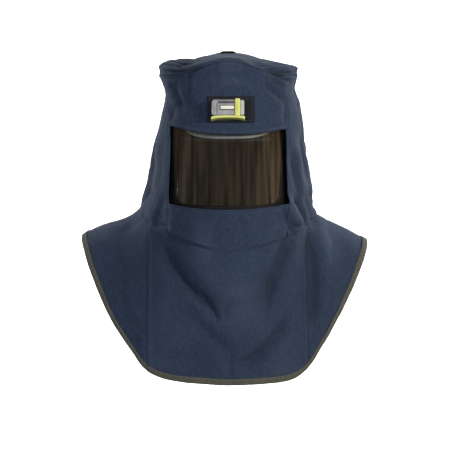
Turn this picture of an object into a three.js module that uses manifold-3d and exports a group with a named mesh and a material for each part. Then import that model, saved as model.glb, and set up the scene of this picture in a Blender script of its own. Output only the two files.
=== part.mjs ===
// Arc flash hood: a hood of heavy sewn cloth with a curved tinted window, a cape over the shoulders,
// a hard cap inside that carries hood and window, and a small work lamp on the forehead.
// Millimetres, +Z up, the wearer faces -Y and +X is the right of someone looking at the front.
// The origin is the top of the wearer's head, inside the cap.
import * as THREE from 'three';
import * as BufferGeometryUtils from 'three/addons/utils/BufferGeometryUtils.js';
import Module from 'manifold-3d';

const wasm = await Module();
wasm.setup();

// Cloth and fits
const CLOTH = 2;
const SEAM_GAP = 0.6;
const FIT = 0.4;

// Hood round the head
const CROWN_TOP = 45;
const CROWN_EDGE = 8;
const CROWN_FRONT_LIFT = 27;
const CROWN_BACK_LIFT = 10;
const CROWN_FRONT_POWER = 4;
const CROWN_BACK_POWER = 2;
const CROWN_ROUND_LEFT = 1;
const CROWN_ROUND_RIGHT = 0.7;
const NECK_DROP = 264;
const NECK_FRONT_SAG = 44;
const NECK_BACK_SAG = 16;
const NECK_FRONT_POWER = 1.5;
const NECK_BACK_POWER = 2;
const NECK_TILT = 14;
const NECK_SIDE = 172;
const FRONT_REACH = 178;
const BACK_REACH = 165;
const SIDE_SEAM = THREE.MathUtils.degToRad(104);

// Cape over the shoulders
const SHOULDER_LEFT = 290;
const SHOULDER_RIGHT = 277;
const SHOULDER_DROP = 316;
const SHOULDER_TILT = 8;
const HEM_DROP = 561;
const BACK_HEM_DROP = 545;
const HEM_FRONT = 185;
const HEM_BACK = 190;
const HEM_SQUARE = 2.2;
const NECK_SLOPE_LEFT = THREE.MathUtils.degToRad(42);
const NECK_SLOPE_RIGHT = THREE.MathUtils.degToRad(31);
const SHOULDER_SLOPE_LEFT = THREE.MathUtils.degToRad(36);
const SHOULDER_SLOPE_RIGHT = THREE.MathUtils.degToRad(25);
const NECK_PULL = 0.25;
const HEM_PULL = 0.4;
const SIDEWAYS_POWER = 2.5;
const BIB_SEAM = 152;
const BIB_BULGE = 0.16;
const BINDING_WIDTH = 11;
const BINDING_WALL = 1;

// Window
const WINDOW_TOP = 90;
const WINDOW_TOP_DROOP = 8;
const WINDOW_TILT = 9;
const WINDOW_BOTTOM = 227;
const WINDOW_BOTTOM_DROOP = 3;
const WINDOW_TOP_HALF = 107;
const WINDOW_BOTTOM_HALF = 112;

// Visor behind the window, its edging and the bar that joins it to the cap
const VISOR_WALL = 2;
const VISOR_RADIUS = 132;
const VISOR_LEAN = 0.075;
const VISOR_SET_BACK = 6.5;
const VISOR_LAP = 4;
const VISOR_OVER = 14;
const VISOR_BOTTOM = 292;
const EDGING_WALL = 1.2;
const EDGING_LAP = 3;
const EDGING_FIT = 0.65;
const GLASS_TOP_HALF = 101;
const GLASS_BOTTOM_HALF = 95;
const GLASS_CORNER = 14;
const EDGING_STRIP = 5;
const CARRIER_HALF = 82;
const CARRIER_DEPTH = 14;
const CARRIER_HEIGHT = 5;

// Hard cap
const CAP_CLEARANCE = 0.5;
const CAP_WALL = 2.5;
const CAP_SIDE = 106;
const CAP_FRONT = 122;
const CAP_BACK = 134;
const CAP_ROUND = 2.5;
const CAP_RIM_DROP = 80;
const BRIM_HALF = 84;
const BRIM_DROP = 19;
const BRIM_WALL = 4;
const BRIM_SET_BACK = 3;
const BRIM_END = 0.1;

// Lamp on the forehead
const LAMP_DROP = 50;
const LAMP_LENGTH = 58;
const LAMP_HEIGHT = 29;
const LAMP_DEPTH = 17;
const LAMP_CHAMFER = 3;
const LAMP_SLOT = 16;
const LAMP_SLOT_IN = 6;
const PLATE_LENGTH = 24;
const PLATE_HEIGHT = 9;
const PLATE_WALL = 1.5;
const PLATE_FROM_BAND = 2;
const LENS_LENGTH = 7;
const LENS_INSET = 2;
const BAND_WIDTH = 9;
const BAND_WALL = 2;
const LEDGE_WALL = 4;
const LEDGE_REACH = 3;
const FOOT_DROP = 3;
const FOOT_LENGTH = 9;
const PATCH_WIDTH = 84;
const PATCH_HEIGHT = 46;
const PATCH_WALL = 2;
const PATCH_SHIFT = 5;

// Hanging loop on the crown
const LOOP_LENGTH = 34;
const LOOP_WIDTH = 20;
const LOOP_RISE = 6;
const LOOP_WALL = 1.8;
const LOOP_FOOT = 6;

// Level rings of the hood. down is the share of the way from the crown's edge to the neck, the
// reaches are shares of the neck's reach to that side, and squareness is that of the ring's corners.
const RINGS = [
  { down: -0.12, left: 0.80, right: 0.80, front: 0.78, back: 0.90, squareLeft: 2.7, squareRight: 2.7 },
  { down: 0.00, left: 0.80, right: 0.80, front: 0.82, back: 0.91, squareLeft: 2.7, squareRight: 2.7 },
  { down: 0.05, left: 0.76, right: 0.77, front: 0.845, back: 0.91, squareLeft: 2.7, squareRight: 2.7 },
  { down: 0.10, left: 0.72, right: 0.75, front: 0.87, back: 0.92, squareLeft: 2.8, squareRight: 2.7 },
  { down: 0.19, left: 0.72, right: 0.81, front: 0.91, back: 0.93, squareLeft: 2.9, squareRight: 2.6 },
  { down: 0.27, left: 0.75, right: 0.84, front: 0.945, back: 0.94, squareLeft: 2.9, squareRight: 2.5 },
  { down: 0.36, left: 0.78, right: 0.86, front: 0.965, back: 0.95, squareLeft: 2.8, squareRight: 2.4 },
  { down: 0.48, left: 0.84, right: 0.88, front: 0.98, back: 0.97, squareLeft: 2.4, squareRight: 2.2 },
  { down: 0.66, left: 0.90, right: 0.925, front: 0.995, back: 0.99, squareLeft: 2.1, squareRight: 2.0 },
  { down: 0.85, left: 0.96, right: 0.968, front: 1.01, back: 1.00, squareLeft: 1.9, squareRight: 1.9 },
  { down: 1.00, left: 1.03, right: 1.005, front: 1.01, back: 1.00, squareLeft: 1.9, squareRight: 1.9 },
  { down: 1.20, left: 1.05, right: 1.01, front: 1.01, back: 1.00, squareLeft: 1.9, squareRight: 1.9 },
];

// The hem's rise from its lowest point to the shoulder's corner, at shares of the shoulder's reach.
const HEM_LINE = [
  { across: 0, left: 0, right: 0 },
  { across: 0.3, left: 0.018, right: 0.013 },
  { across: 0.45, left: 0.048, right: 0.038 },
  { across: 0.55, left: 0.112, right: 0.117 },
  { across: 0.65, left: 0.255, right: 0.278 },
  { across: 0.75, left: 0.41, right: 0.46 },
  { across: 0.85, left: 0.62, right: 0.66 },
  { across: 0.93, left: 0.83, right: 0.835 },
  { across: 1, left: 1, right: 1 },
];

// Folds of the cloth on the front and the back. from and to are the ends of a valley: shares of the
// shoulder's reach across, and of the way from the neck to the hem, so less than 0 above the neck.
// bow bends the line sideways by a share of its length, and lean raises one lip of the valley.
const FRONT_FOLDS = [
  { from: [-0.46, 0.00], to: [-0.05, 0.68], bow: 0.12, depth: 10, width: 26, lean: 0.48 },
  { from: [0.48, 0.055], to: [0.30, 0.62], bow: -0.08, depth: 9, width: 24, lean: -0.48 },
  { from: [0.55, -0.04], to: [0.62, 0.62], bow: 0.02, depth: 12, width: 26, lean: 0 },
  { from: [0.10, 0.905], to: [0.48, 0.66], bow: -0.10, depth: 6, width: 22, lean: -0.64 },
  { from: [-0.52, -0.417], to: [-0.47, -0.02], bow: 0, depth: 5, width: 17, lean: 0.48 },
  { from: [0.47, -0.435], to: [0.54, -0.02], bow: 0, depth: 6, width: 17, lean: 0.48 },
];
const BACK_FOLDS = [
  { from: [-0.30, 0.018], to: [-0.42, 0.85], bow: 0.05, depth: 8, width: 20, lean: 0.32 },
  { from: [0.26, 0.055], to: [0.36, 0.81], bow: -0.05, depth: 8, width: 22, lean: -0.32 },
  { from: [-0.05, -0.322], to: [0.04, 0.244], bow: 0, depth: 6, width: 22, lean: 0 },
];

// Folds of the crown, seen from above. Both ends are shares of the crown's reach from the middle.
const CROWN_FOLDS = [
  { from: [-0.98, -0.45], to: [-0.40, -0.60], bow: 0, depth: 5, width: 15, lean: 0.48 },
  { from: [-0.98, -0.10], to: [-0.35, -0.25], bow: 0, depth: 4, width: 15, lean: 0.48 },
  { from: [0.98, -0.40], to: [0.45, -0.70], bow: 0, depth: 6, width: 17, lean: -0.48 },
  { from: [0.95, 0.30], to: [0.40, 0.15], bow: 0, depth: 4, width: 14, lean: 0 },
];

// The share of a fold's length over which it grows from nothing at each end, the width at the
// shoulders where the front's and the back's folds die out, and the same for the crown's rim.
const FOLD_FADE = 0.3;
const FOLD_SIDE_FADE = 40;
const CROWN_FOLD_FADE = 0.2;

const QUARTER = Math.PI / 2;
const mix = (a, b, share) => a + (b - a) * share;
const clamp = (value) => Math.min(Math.max(value, 0), 1);
const smooth = (value) => clamp(value) ** 2 * (3 - 2 * clamp(value));
const vector = (x, y, z) => new THREE.Vector3(x, y, z);
const shares = (count) => Array.from({ length: count + 1 }, (_, i) => i / count);

// A smooth curve through one column of a table, at a value of its first column.
function column(rows, key, name, at) {
  const last = rows.length - 2;
  let i = 0;
  while (i < last && rows[i + 1][key] < at) i += 1;
  const slope = (j) => {
    const before = rows[Math.max(j - 1, 0)];
    const after = rows[Math.min(j + 1, rows.length - 1)];
    return (after[name] - before[name]) / (after[key] - before[key]);
  };
  const span = rows[i + 1][key] - rows[i][key];
  const t = clamp((at - rows[i][key]) / span);
  const start = rows[i][name] * (1 + 2 * t) * (1 - t) ** 2 + slope(i) * span * t * (1 - t) ** 2;
  const end = rows[i + 1][name] * t * t * (3 - 2 * t) - slope(i + 1) * span * t * t * (1 - t);
  return start + end;
}

function ringAt(z) {
  const at = (CROWN_EDGE - z) / (CROWN_EDGE + NECK_DROP);
  const value = (name) => column(RINGS, 'down', name, at);
  return {
    left: NECK_SIDE * value('left'),
    right: NECK_SIDE * value('right'),
    front: FRONT_REACH * value('front'),
    back: BACK_REACH * value('back'),
    squareLeft: value('squareLeft'),
    squareRight: value('squareRight'),
  };
}

// A ring's point at an angle measured from the front towards +X.
function ringPoint(ring, angle, z) {
  const isLeft = Math.sin(angle) < 0;
  const square = isLeft ? ring.squareLeft : ring.squareRight;
  const side = Math.abs(Math.sin(angle)) / (isLeft ? ring.left : ring.right);
  const ahead = Math.abs(Math.cos(angle)) / (Math.cos(angle) > 0 ? ring.front : ring.back);
  const reach = (side ** square + ahead ** square) ** (-1 / square);
  return vector(reach * Math.sin(angle), -reach * Math.cos(angle), z);
}

// How far across a point is, as a share of the ring's reach to its side.
function shareAcross(ring, x) {
  return Math.min(Math.abs(x) / (x < 0 ? ring.left : ring.right), 1);
}

const edgeRing = ringAt(CROWN_EDGE);
const neckRing = ringAt(-NECK_DROP);

function crownEdgeHeight(x, isFront) {
  const share = shareAcross(edgeRing, x);
  const lift = isFront ? CROWN_FRONT_LIFT : CROWN_BACK_LIFT;
  return CROWN_EDGE + lift * (1 - share ** 2) ** (isFront ? CROWN_FRONT_POWER : CROWN_BACK_POWER);
}

function neckHeight(x, isFront) {
  const share = shareAcross(neckRing, x);
  const sag = isFront ? NECK_FRONT_SAG : NECK_BACK_SAG;
  const level = -NECK_DROP - sag * (1 - share ** (isFront ? NECK_FRONT_POWER : NECK_BACK_POWER));
  return level - NECK_TILT * x / (2 * NECK_SIDE);
}

// A point of the line that the height function draws round the hood.
function linePoint(angle, heightAt, firstZ) {
  let point = ringPoint(ringAt(firstZ), angle, firstZ);
  for (let i = 0; i < 4; i += 1) {
    const z = heightAt(point.x, Math.cos(angle) > 0);
    point = ringPoint(ringAt(z), angle, z);
  }
  return point;
}

const crownRim = (angle) => linePoint(angle, crownEdgeHeight, CROWN_EDGE);
const neckPoint = (angle) => linePoint(angle, neckHeight, -NECK_DROP);

// The hood's front where it is that far across.
function frontPoint(x, z) {
  const ring = ringAt(z);
  const square = x < 0 ? ring.squareLeft : ring.squareRight;
  return vector(x, -ring.front * (1 - shareAcross(ring, x) ** square) ** (1 / square), z);
}

// The move along the normal that one fold gives at a place of its plane, where at turns the shares
// of the fold's ends into millimetres.
function foldAt(fold, across, down, at) {
  const [startAcross, startDown] = at(fold.from);
  const [endAcross, endDown] = at(fold.to);
  const length = Math.hypot(endAcross - startAcross, endDown - startDown);
  const alongAcross = (endAcross - startAcross) / length;
  const alongDown = (endDown - startDown) / length;
  const fromStart = across - startAcross;
  const below = down - startDown;
  const t = (fromStart * alongAcross + below * alongDown) / length;
  const bend = fold.bow * length * 4 * t * (1 - t);
  const q = (fromStart * alongDown - below * alongAcross - bend) / fold.width;
  const fade = smooth(t / FOLD_FADE) * smooth((1 - t) / FOLD_FADE);
  return fold.depth * fade * (fold.lean * q - 1) * Math.exp(-q * q);
}

function clothFolds(point) {
  const reach = (SHOULDER_LEFT + SHOULDER_RIGHT) / 2;
  const at = ([across, down]) => [across * reach, mix(NECK_DROP, HEM_DROP, down)];
  const folds = point.y < 0 ? FRONT_FOLDS : BACK_FOLDS;
  const sum = folds.reduce((total, fold) => total + foldAt(fold, point.x, -point.z, at), 0);
  return sum * smooth(Math.abs(point.y) / FOLD_SIDE_FADE);
}

function crownFolds(point) {
  const at = ([across, along]) => [across * edgeRing.left, along * edgeRing.front];
  const sum = CROWN_FOLDS.reduce((total, fold) => total + foldAt(fold, point.x, point.y, at), 0);
  const rim = Math.hypot(point.x / edgeRing.left, point.y / edgeRing.front);
  return sum * smooth((1 - rim) / CROWN_FOLD_FADE);
}

// The outward normal of a skin, where a runs towards +X at the front and b runs down.
function normalAt(place, a, b) {
  const step = 0.003;
  const across = place(a + step, b).sub(place(a - step, b));
  const down = place(a, b + step).sub(place(a, b - step));
  return down.cross(across).normalize();
}

function folded(place, folds) {
  return (a, b) => {
    const point = place(a, b);
    return point.addScaledVector(normalAt(place, a, b), folds(point));
  };
}

// The mesh with its faces turned outwards.
function facingOut(geometry) {
  const position = geometry.attributes.position;
  const index = geometry.index.array;
  const corner = (i) => vector().fromBufferAttribute(position, index[i]);
  let volume = 0;
  for (let i = 0; i < index.length; i += 3) {
    volume += corner(i).dot(corner(i + 1).cross(corner(i + 2)));
  }
  if (volume < 0) index.reverse();
  return geometry;
}

function meshOf(points, triangles) {
  const geometry = new THREE.BufferGeometry();
  geometry.setAttribute('position', new THREE.Float32BufferAttribute(points.flatMap((p) => p.toArray()), 3));
  geometry.setIndex(triangles.flat());
  return facingOut(geometry);
}

// Both triangles of each cell between two rows of point numbers. The cells named in turned are
// cut along their other diagonal.
function strip(first, second, turned = []) {
  const cells = [];
  for (let i = 0; i < first.length - 1; i += 1) {
    const [a, b, c, d] = [first[i], second[i], second[i + 1], first[i + 1]];
    if (turned.includes(i)) cells.push([a, b, d], [b, c, d]);
    else cells.push([a, b, c], [a, c, d]);
  }
  return cells;
}

const reversed = (triangles) => triangles.map(([a, b, c]) => [a, c, b]);

// A solid swept through rings of points, which close on themselves or end in flat caps.
function sweep(rings, isLoop, turned = []) {
  const size = rings[0].length;
  const row = (r) => Array.from({ length: size + 1 }, (_, i) => (r % rings.length) * size + (i % size));
  const triangles = [];
  const last = rings.length - (isLoop ? 0 : 1);
  for (let r = 0; r < last; r += 1) triangles.push(...strip(row(r), row(r + 1), turned));
  if (!isLoop) {
    for (let i = 1; i < size - 1; i += 1) {
      triangles.push([row(0)[0], row(0)[i], row(0)[i + 1]]);
      triangles.push([row(rings.length - 1)[0], row(rings.length - 1)[i + 1], row(rings.length - 1)[i]]);
    }
  }
  return meshOf(rings.flat(), triangles);
}

// A closed solid between two grids of points with the same rows and columns.
function solidBetween(outer, inner) {
  const rows = outer.length;
  const columns = outer[0].length;
  const base = [0, rows * columns];
  const row = (side, r) => Array.from({ length: columns }, (_, c) => base[side] + r * columns + c);
  const side = (which, c) => Array.from({ length: rows }, (_, r) => base[which] + r * columns + c);
  const triangles = [];
  for (let r = 0; r < rows - 1; r += 1) {
    triangles.push(...strip(row(0, r), row(0, r + 1)));
    triangles.push(...reversed(strip(row(1, r), row(1, r + 1))));
  }
  triangles.push(...strip(row(1, 0), row(0, 0)));
  triangles.push(...strip(row(0, rows - 1), row(1, rows - 1)));
  triangles.push(...strip(side(0, 0), side(1, 0)));
  triangles.push(...strip(side(1, columns - 1), side(0, columns - 1)));
  return meshOf([...outer.flat(), ...inner.flat()], triangles);
}

// A wall whose skin is place(a, b) over the given shares, its outside raised by lift.
function wall(place, across, down, thickness, lift = 0, normal = (a, b) => normalAt(place, a, b)) {
  const skin = (offset) => down.map((b) => across.map((a) => (
    place(a, b).addScaledVector(normal(a, b), offset))));
  return solidBetween(skin(lift), skin(lift - thickness));
}

// Crown, with a mesh of squares rounded off, so that no pole pinches the cloth
function crownPoint(share, angle) {
  const rim = crownRim(angle);
  const round = mix(CROWN_ROUND_LEFT, CROWN_ROUND_RIGHT, (1 + Math.sin(angle)) / 2);
  const drop = round * (1 - (1 - share ** 3) ** (1 / 3)) + (1 - round) * share ** 1.5;
  return vector(rim.x * share, rim.y * share, mix(CROWN_TOP, rim.z, drop));
}

function crownPlace(a, b) {
  const s = 2 * clamp(a) - 1;
  const t = 2 * clamp(b) - 1;
  const x = s * Math.sqrt(1 - t * t / 2);
  const ahead = t * Math.sqrt(1 - s * s / 2);
  return crownPoint(Math.min(Math.hypot(x, ahead), 1), Math.atan2(x, ahead));
}

// Rows of the crown's mesh, closer together towards its rim
const CROWN_CROWDING = 0.5;
const CROWN_ROWS = shares(16).map((share) => mix(share, (1 - Math.cos(share * Math.PI)) / 2, CROWN_CROWDING));

// Window lines
function windowHalf(z) {
  return mix(WINDOW_BOTTOM_HALF, WINDOW_TOP_HALF, (z + WINDOW_BOTTOM) / (WINDOW_BOTTOM - WINDOW_TOP));
}

function windowTop(x) {
  const share = x / WINDOW_TOP_HALF;
  return -WINDOW_TOP - WINDOW_TOP_DROOP * (1 - share ** 2) - WINDOW_TILT * share / 2;
}

function windowBottom(x) {
  const share = x / WINDOW_BOTTOM_HALF;
  return -WINDOW_BOTTOM - WINDOW_BOTTOM_DROOP * (1 - share ** 2);
}

// A panel of the front, between the window's side seams and two level lines.
function frontPanel(topAt, bottomAt) {
  return (a, b) => {
    const across = (z) => (2 * a - 1) * (windowHalf(z) - SEAM_GAP / 2);
    let top = topAt(across(CROWN_EDGE));
    let bottom = bottomAt(across(-WINDOW_BOTTOM));
    for (let i = 0; i < 3; i += 1) {
      top = topAt(across(top));
      bottom = bottomAt(across(bottom));
    }
    const z = mix(top, bottom, b);
    return frontPoint(across(z), z);
  };
}

const foreheadPlace = frontPanel((x) => crownEdgeHeight(x, true) - SEAM_GAP, windowTop);
const chinPlace = frontPanel(windowBottom, (x) => neckHeight(x, true) + SEAM_GAP / 2);

// The angle at which the hood's front is that far across.
function angleAcross(x, z) {
  const point = frontPoint(x, z);
  return Math.atan2(point.x, -point.y);
}

// A panel of the hood between two seams given by their angle at a height.
function sidePanel(fromAngle, toAngle) {
  const angleAt = (share, z) => mix(fromAngle(z), toAngle(z), share);
  return (a, b) => {
    let top = CROWN_EDGE;
    let bottom = -NECK_DROP;
    for (let i = 0; i < 3; i += 1) {
      top = crownRim(angleAt(a, top)).z - SEAM_GAP;
      bottom = neckPoint(angleAt(a, bottom)).z + SEAM_GAP / 2;
    }
    const z = mix(top, bottom, b);
    return ringPoint(ringAt(z), angleAt(a, z), z);
  };
}

const seamTurn = SEAM_GAP / 2 / NECK_SIDE;
const rightWindow = (z) => angleAcross(windowHalf(z) + SEAM_GAP / 2, z);
const leftWindow = (z) => angleAcross(-windowHalf(z) - SEAM_GAP / 2, z);
const rightCheekPlace = sidePanel(rightWindow, () => SIDE_SEAM - seamTurn);
const leftCheekPlace = sidePanel(() => -SIDE_SEAM + seamTurn, leftWindow);
const backPlace = sidePanel(() => SIDE_SEAM + seamTurn, () => 2 * Math.PI - SIDE_SEAM - seamTurn);

// Cape. The hem's point at an angle, highest at the shoulders.
function hemPoint(angle) {
  const isFront = Math.cos(angle) > 0;
  const power = 2 / HEM_SQUARE;
  const side = Math.sin(angle) < 0 ? -SHOULDER_LEFT : SHOULDER_RIGHT;
  const share = Math.abs(Math.sin(angle)) ** power;
  const ahead = Math.abs(Math.cos(angle)) ** power;
  const low = isFront ? HEM_DROP : BACK_HEM_DROP;
  const rise = column(HEM_LINE, 'across', side < 0 ? 'left' : 'right', share);
  const top = SHOULDER_DROP + Math.sign(side) * SHOULDER_TILT / 2;
  return vector(side * share, isFront ? -HEM_FRONT * ahead : HEM_BACK * ahead, -mix(low, top, rise));
}

// The cape hangs from the neck to the hem on a curve that starts and ends in the cloth's own direction.
function capePoint(angle, down) {
  const start = neckPoint(angle);
  const end = hemPoint(angle);
  const span = start.distanceTo(end);
  const sideways = Math.abs(Math.sin(angle)) ** SIDEWAYS_POWER;
  const isLeft = Math.sin(angle) < 0;
  const neckSlope = isLeft ? NECK_SLOPE_LEFT : NECK_SLOPE_RIGHT;
  const shoulderSlope = isLeft ? SHOULDER_SLOPE_LEFT : SHOULDER_SLOPE_RIGHT;
  const outward = (slope) => vector(Math.sign(Math.sin(angle)) * Math.cos(slope), 0, -Math.sin(slope));
  const hanging = vector(0, -Math.sign(Math.cos(angle)) * BIB_BULGE, -1);
  const fromNeck = hanging.clone().lerp(outward(neckSlope), sideways).normalize();
  const toHem = vector(0, 0, -1).lerp(outward(shoulderSlope), sideways).normalize();
  const afterNeck = start.clone().addScaledVector(fromNeck, span * NECK_PULL);
  const beforeHem = end.clone().addScaledVector(toHem, -span * HEM_PULL);
  return new THREE.CubicBezierCurve3(start, afterNeck, beforeHem, end).getPoint(down);
}

// The angle from which the cape has reached that far across at a share of its drop.
function capeAngle(x, down, isFront) {
  let low = 0;
  let high = QUARTER;
  const at = (turn) => (isFront ? turn : Math.PI - turn) * Math.sign(x);
  for (let i = 0; i < 24; i += 1) {
    const middle = (low + high) / 2;
    if (Math.abs(capePoint(at(middle), down).x) < Math.abs(x)) low = middle;
    else high = middle;
  }
  return at(low);
}

// The share of the cape's drop for a share of the panel. The last row lies under the hem's binding,
// whose width is measured over the last stretch of the cape.
const LAST_ROW = 0.93;
const NEAR_HEM = 0.94;
function capeShare(angle, b) {
  const span = capePoint(angle, NEAR_HEM).distanceTo(capePoint(angle, 1)) / (1 - NEAR_HEM);
  const last = 1 - BINDING_WIDTH / span;
  const first = SEAM_GAP / 2 / span;
  if (b < LAST_ROW) return mix(first, last, b / LAST_ROW);
  return mix(last, 1, (b - LAST_ROW) / (1 - LAST_ROW));
}

function capePanel(fromAngle, toAngle) {
  return (a, b) => {
    const angle = mix(fromAngle(b), toAngle(b), a);
    return capePoint(angle, capeShare(angle, b));
  };
}

const halfGap = SEAM_GAP / 2;
const turnTo = (x, isFront) => (b) => capeAngle(x, b, isFront);
const backTurnTo = (x) => (b) => (capeAngle(x, b, false) + 2 * Math.PI) % (2 * Math.PI);
const CAPE_PLACES = {
  bib_front: capePanel(turnTo(halfGap - BIB_SEAM, true), turnTo(BIB_SEAM - halfGap, true)),
  cape_right: capePanel(turnTo(BIB_SEAM + halfGap, true), turnTo(BIB_SEAM + halfGap, false)),
  bib_back: capePanel(backTurnTo(BIB_SEAM - halfGap), backTurnTo(halfGap - BIB_SEAM)),
  cape_left: capePanel(turnTo(-BIB_SEAM - halfGap, false), turnTo(-BIB_SEAM - halfGap, true)),
};
const CAPE_COLUMNS = { bib_front: 18, cape_right: 16, bib_back: 12, cape_left: 16 };
const CAPE_ROWS = [0, 0.06, 0.13, 0.21, 0.3, 0.4, 0.5, 0.6, 0.7, 0.8, 0.87, LAST_ROW, 1];
const HOOD_ROWS = [0, 0.025, 0.055, 0.09, 0.14, 0.2, 0.28, 0.37, 0.47, 0.58, 0.69, 0.8, 0.9, 1];

// The tape folded round the hem: one ring of points for each column of the panels above it.
function hemBinding() {
  const rings = [];
  const near = FIT;
  const far = FIT + BINDING_WALL;
  for (const [name, place] of Object.entries(CAPE_PLACES)) {
    const skin = folded(place, clothFolds);
    for (const a of shares(CAPE_COLUMNS[name])) {
      const top = skin(a, LAST_ROW);
      const edge = skin(a, 1);
      const topNormal = normalAt(skin, a, LAST_ROW);
      const edgeNormal = normalAt(skin, a, 1);
      const down = edge.clone().sub(top).normalize();
      const above = (lift) => top.clone().addScaledVector(topNormal, lift);
      const below = (lift, past) => {
        return edge.clone().addScaledVector(edgeNormal, lift).addScaledVector(down, past);
      };
      rings.push([
        above(near), below(near, near), below(-CLOTH - near, near), above(-CLOTH - near),
        above(-CLOTH - far), below(-CLOTH - far, far), below(far, far), above(far),
      ]);
    }
  }
  const upwardFaces = [2, 6];
  return sweep(rings, true, upwardFaces);
}

// Visor and what touches it stand on one leaning arc. lift is the distance out from the visor's face.
function visorPoint(x, z, lift) {
  const middle = VISOR_SET_BACK - FRONT_REACH + VISOR_RADIUS + VISOR_LEAN * (z + WINDOW_BOTTOM);
  const turn = Math.asin(x / VISOR_RADIUS);
  const reach = VISOR_RADIUS + lift;
  return vector(reach * Math.sin(turn), middle - reach * Math.cos(turn), z);
}

function arcPlate(halfAt, topAt, bottomAt, outerLift, thickness, columns, rows) {
  const skin = (lift) => shares(rows).map((b) => shares(columns).map((a) => {
    const z = mix(topAt, bottomAt, b);
    return visorPoint((2 * a - 1) * halfAt(z), z, lift);
  }));
  return solidBetween(skin(outerLift), skin(outerLift - thickness));
}

const visorTop = -WINDOW_TOP + WINDOW_TILT / 2 + VISOR_OVER;

function visor() {
  return arcPlate((z) => windowHalf(z) + VISOR_LAP, visorTop, -VISOR_BOTTOM, 0, VISOR_WALL, 24, 3);
}

// The edging's inner line is the glass that shows, with round lower corners.
function visorGasket() {
  const bottom = -WINDOW_BOTTOM + EDGING_STRIP;
  const top = -WINDOW_TOP + WINDOW_TILT / 2;
  const glassHalf = (z) => mix(GLASS_BOTTOM_HALF, GLASS_TOP_HALF, (z - bottom) / (top - bottom));
  const outside = [];
  const inside = [];
  const add = (glassX, glassZ, edgeX, edgeZ) => {
    inside.push([glassX, glassZ]);
    outside.push([edgeX, edgeZ]);
  };
  const edgeHalf = (z) => windowHalf(z) + EDGING_LAP;
  const low = -WINDOW_BOTTOM - WINDOW_BOTTOM_DROOP - EDGING_LAP;
  const high = visorTop - EDGING_LAP;
  const straight = 16;
  const corner = 8;
  const layers = 4;
  for (const share of shares(straight)) {
    const x = (share * 2 - 1);
    add(x * (GLASS_BOTTOM_HALF - GLASS_CORNER), bottom, x * (GLASS_BOTTOM_HALF - GLASS_CORNER), low);
  }
  const roundCorner = (sign) => shares(corner).slice(1, -1).map((share) => {
    const turn = share * QUARTER;
    const x = GLASS_BOTTOM_HALF - GLASS_CORNER + GLASS_CORNER * Math.sin(turn);
    const z = bottom + GLASS_CORNER * (1 - Math.cos(turn));
    const edgeX = share > 0.5 ? edgeHalf(z) : mix(GLASS_BOTTOM_HALF - GLASS_CORNER, edgeHalf(low), share * 2);
    return [sign * x, z, sign * edgeX, share > 0.5 ? mix(low, z, 0.5) : low];
  });
  const sides = (sign) => shares(4).map((share) => {
    const z = mix(bottom + GLASS_CORNER, high - EDGING_STRIP, share);
    return [sign * glassHalf(z), z, sign * edgeHalf(z), share === 1 ? high : z];
  });
  for (const row of [...roundCorner(1), ...sides(1)]) add(...row);
  const across = shares(straight).slice(1, -1).map((share) => 1 - 2 * share);
  for (const x of across) add(x * glassHalf(high), high - EDGING_STRIP, x * edgeHalf(high), high);
  for (const row of [...roundCorner(-1), ...sides(-1)].reverse()) add(...row);
  const outer = EDGING_FIT + EDGING_WALL;
  const rings = inside.map((glass, i) => {
    const line = (lift) => shares(layers).map((share) => (
      visorPoint(mix(glass[0], outside[i][0], share), mix(glass[1], outside[i][1], share), lift)));
    return [...line(EDGING_FIT), ...line(outer).reverse()];
  });
  return sweep(rings, true);
}

const carrierTop = -CAP_RIM_DROP - BRIM_DROP - BRIM_WALL - FIT;

function visorCarrier() {
  return arcPlate(() => CARRIER_HALF, carrierTop, carrierTop - CARRIER_HEIGHT,
    -VISOR_WALL - FIT, CARRIER_DEPTH, 16, 1);
}

// Solids for joining and cutting
function toSolid(geometry) {
  const bare = geometry.clone();
  for (const name of Object.keys(bare.attributes)) if (name !== 'position') bare.deleteAttribute(name);
  const merged = BufferGeometryUtils.mergeVertices(bare, 1e-4);
  const vertProperties = new Float32Array(merged.attributes.position.array);
  const triVerts = new Uint32Array(facingOut(merged).index.array);
  return new wasm.Manifold(new wasm.Mesh({ numProp: 3, vertProperties, triVerts }));
}

function fromSolid(solid) {
  const mesh = solid.getMesh();
  const geometry = new THREE.BufferGeometry();
  geometry.setAttribute('position', new THREE.BufferAttribute(new Float32Array(mesh.vertProperties), 3));
  geometry.setIndex(new THREE.BufferAttribute(new Uint32Array(mesh.triVerts), 1));
  return geometry;
}

// Hard cap: a dome turned round its axis and stretched, joined to its peak.
const capTop = CROWN_TOP - CLOTH - CAP_CLEARANCE;

function capDome() {
  const height = capTop + CAP_RIM_DROP;
  const steps = 9;
  const curve = (wallIn) => shares(steps).map((share) => {
    const turn = share * QUARTER;
    const out = Math.sin(turn) ** (2 / CAP_ROUND) * (CAP_SIDE - wallIn);
    const up = Math.cos(turn) ** (2 / CAP_ROUND) * (height - wallIn);
    return new THREE.Vector2(Math.max(out, 0), up);
  });
  const tidy = (points) => {
    points[0].x = 0;
    points[steps].y = 0;
    return points;
  };
  const profile = [...tidy(curve(0)), ...tidy(curve(CAP_WALL)).reverse()];
  const dome = new THREE.LatheGeometry(profile, 28);
  dome.rotateX(QUARTER);
  dome.translate(0, 0, -CAP_RIM_DROP);
  const position = dome.attributes.position;
  for (let i = 0; i < position.count; i += 1) {
    const y = position.getY(i);
    position.setY(i, y * (y < 0 ? CAP_FRONT : CAP_BACK) / CAP_SIDE);
  }
  return dome;
}

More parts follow.
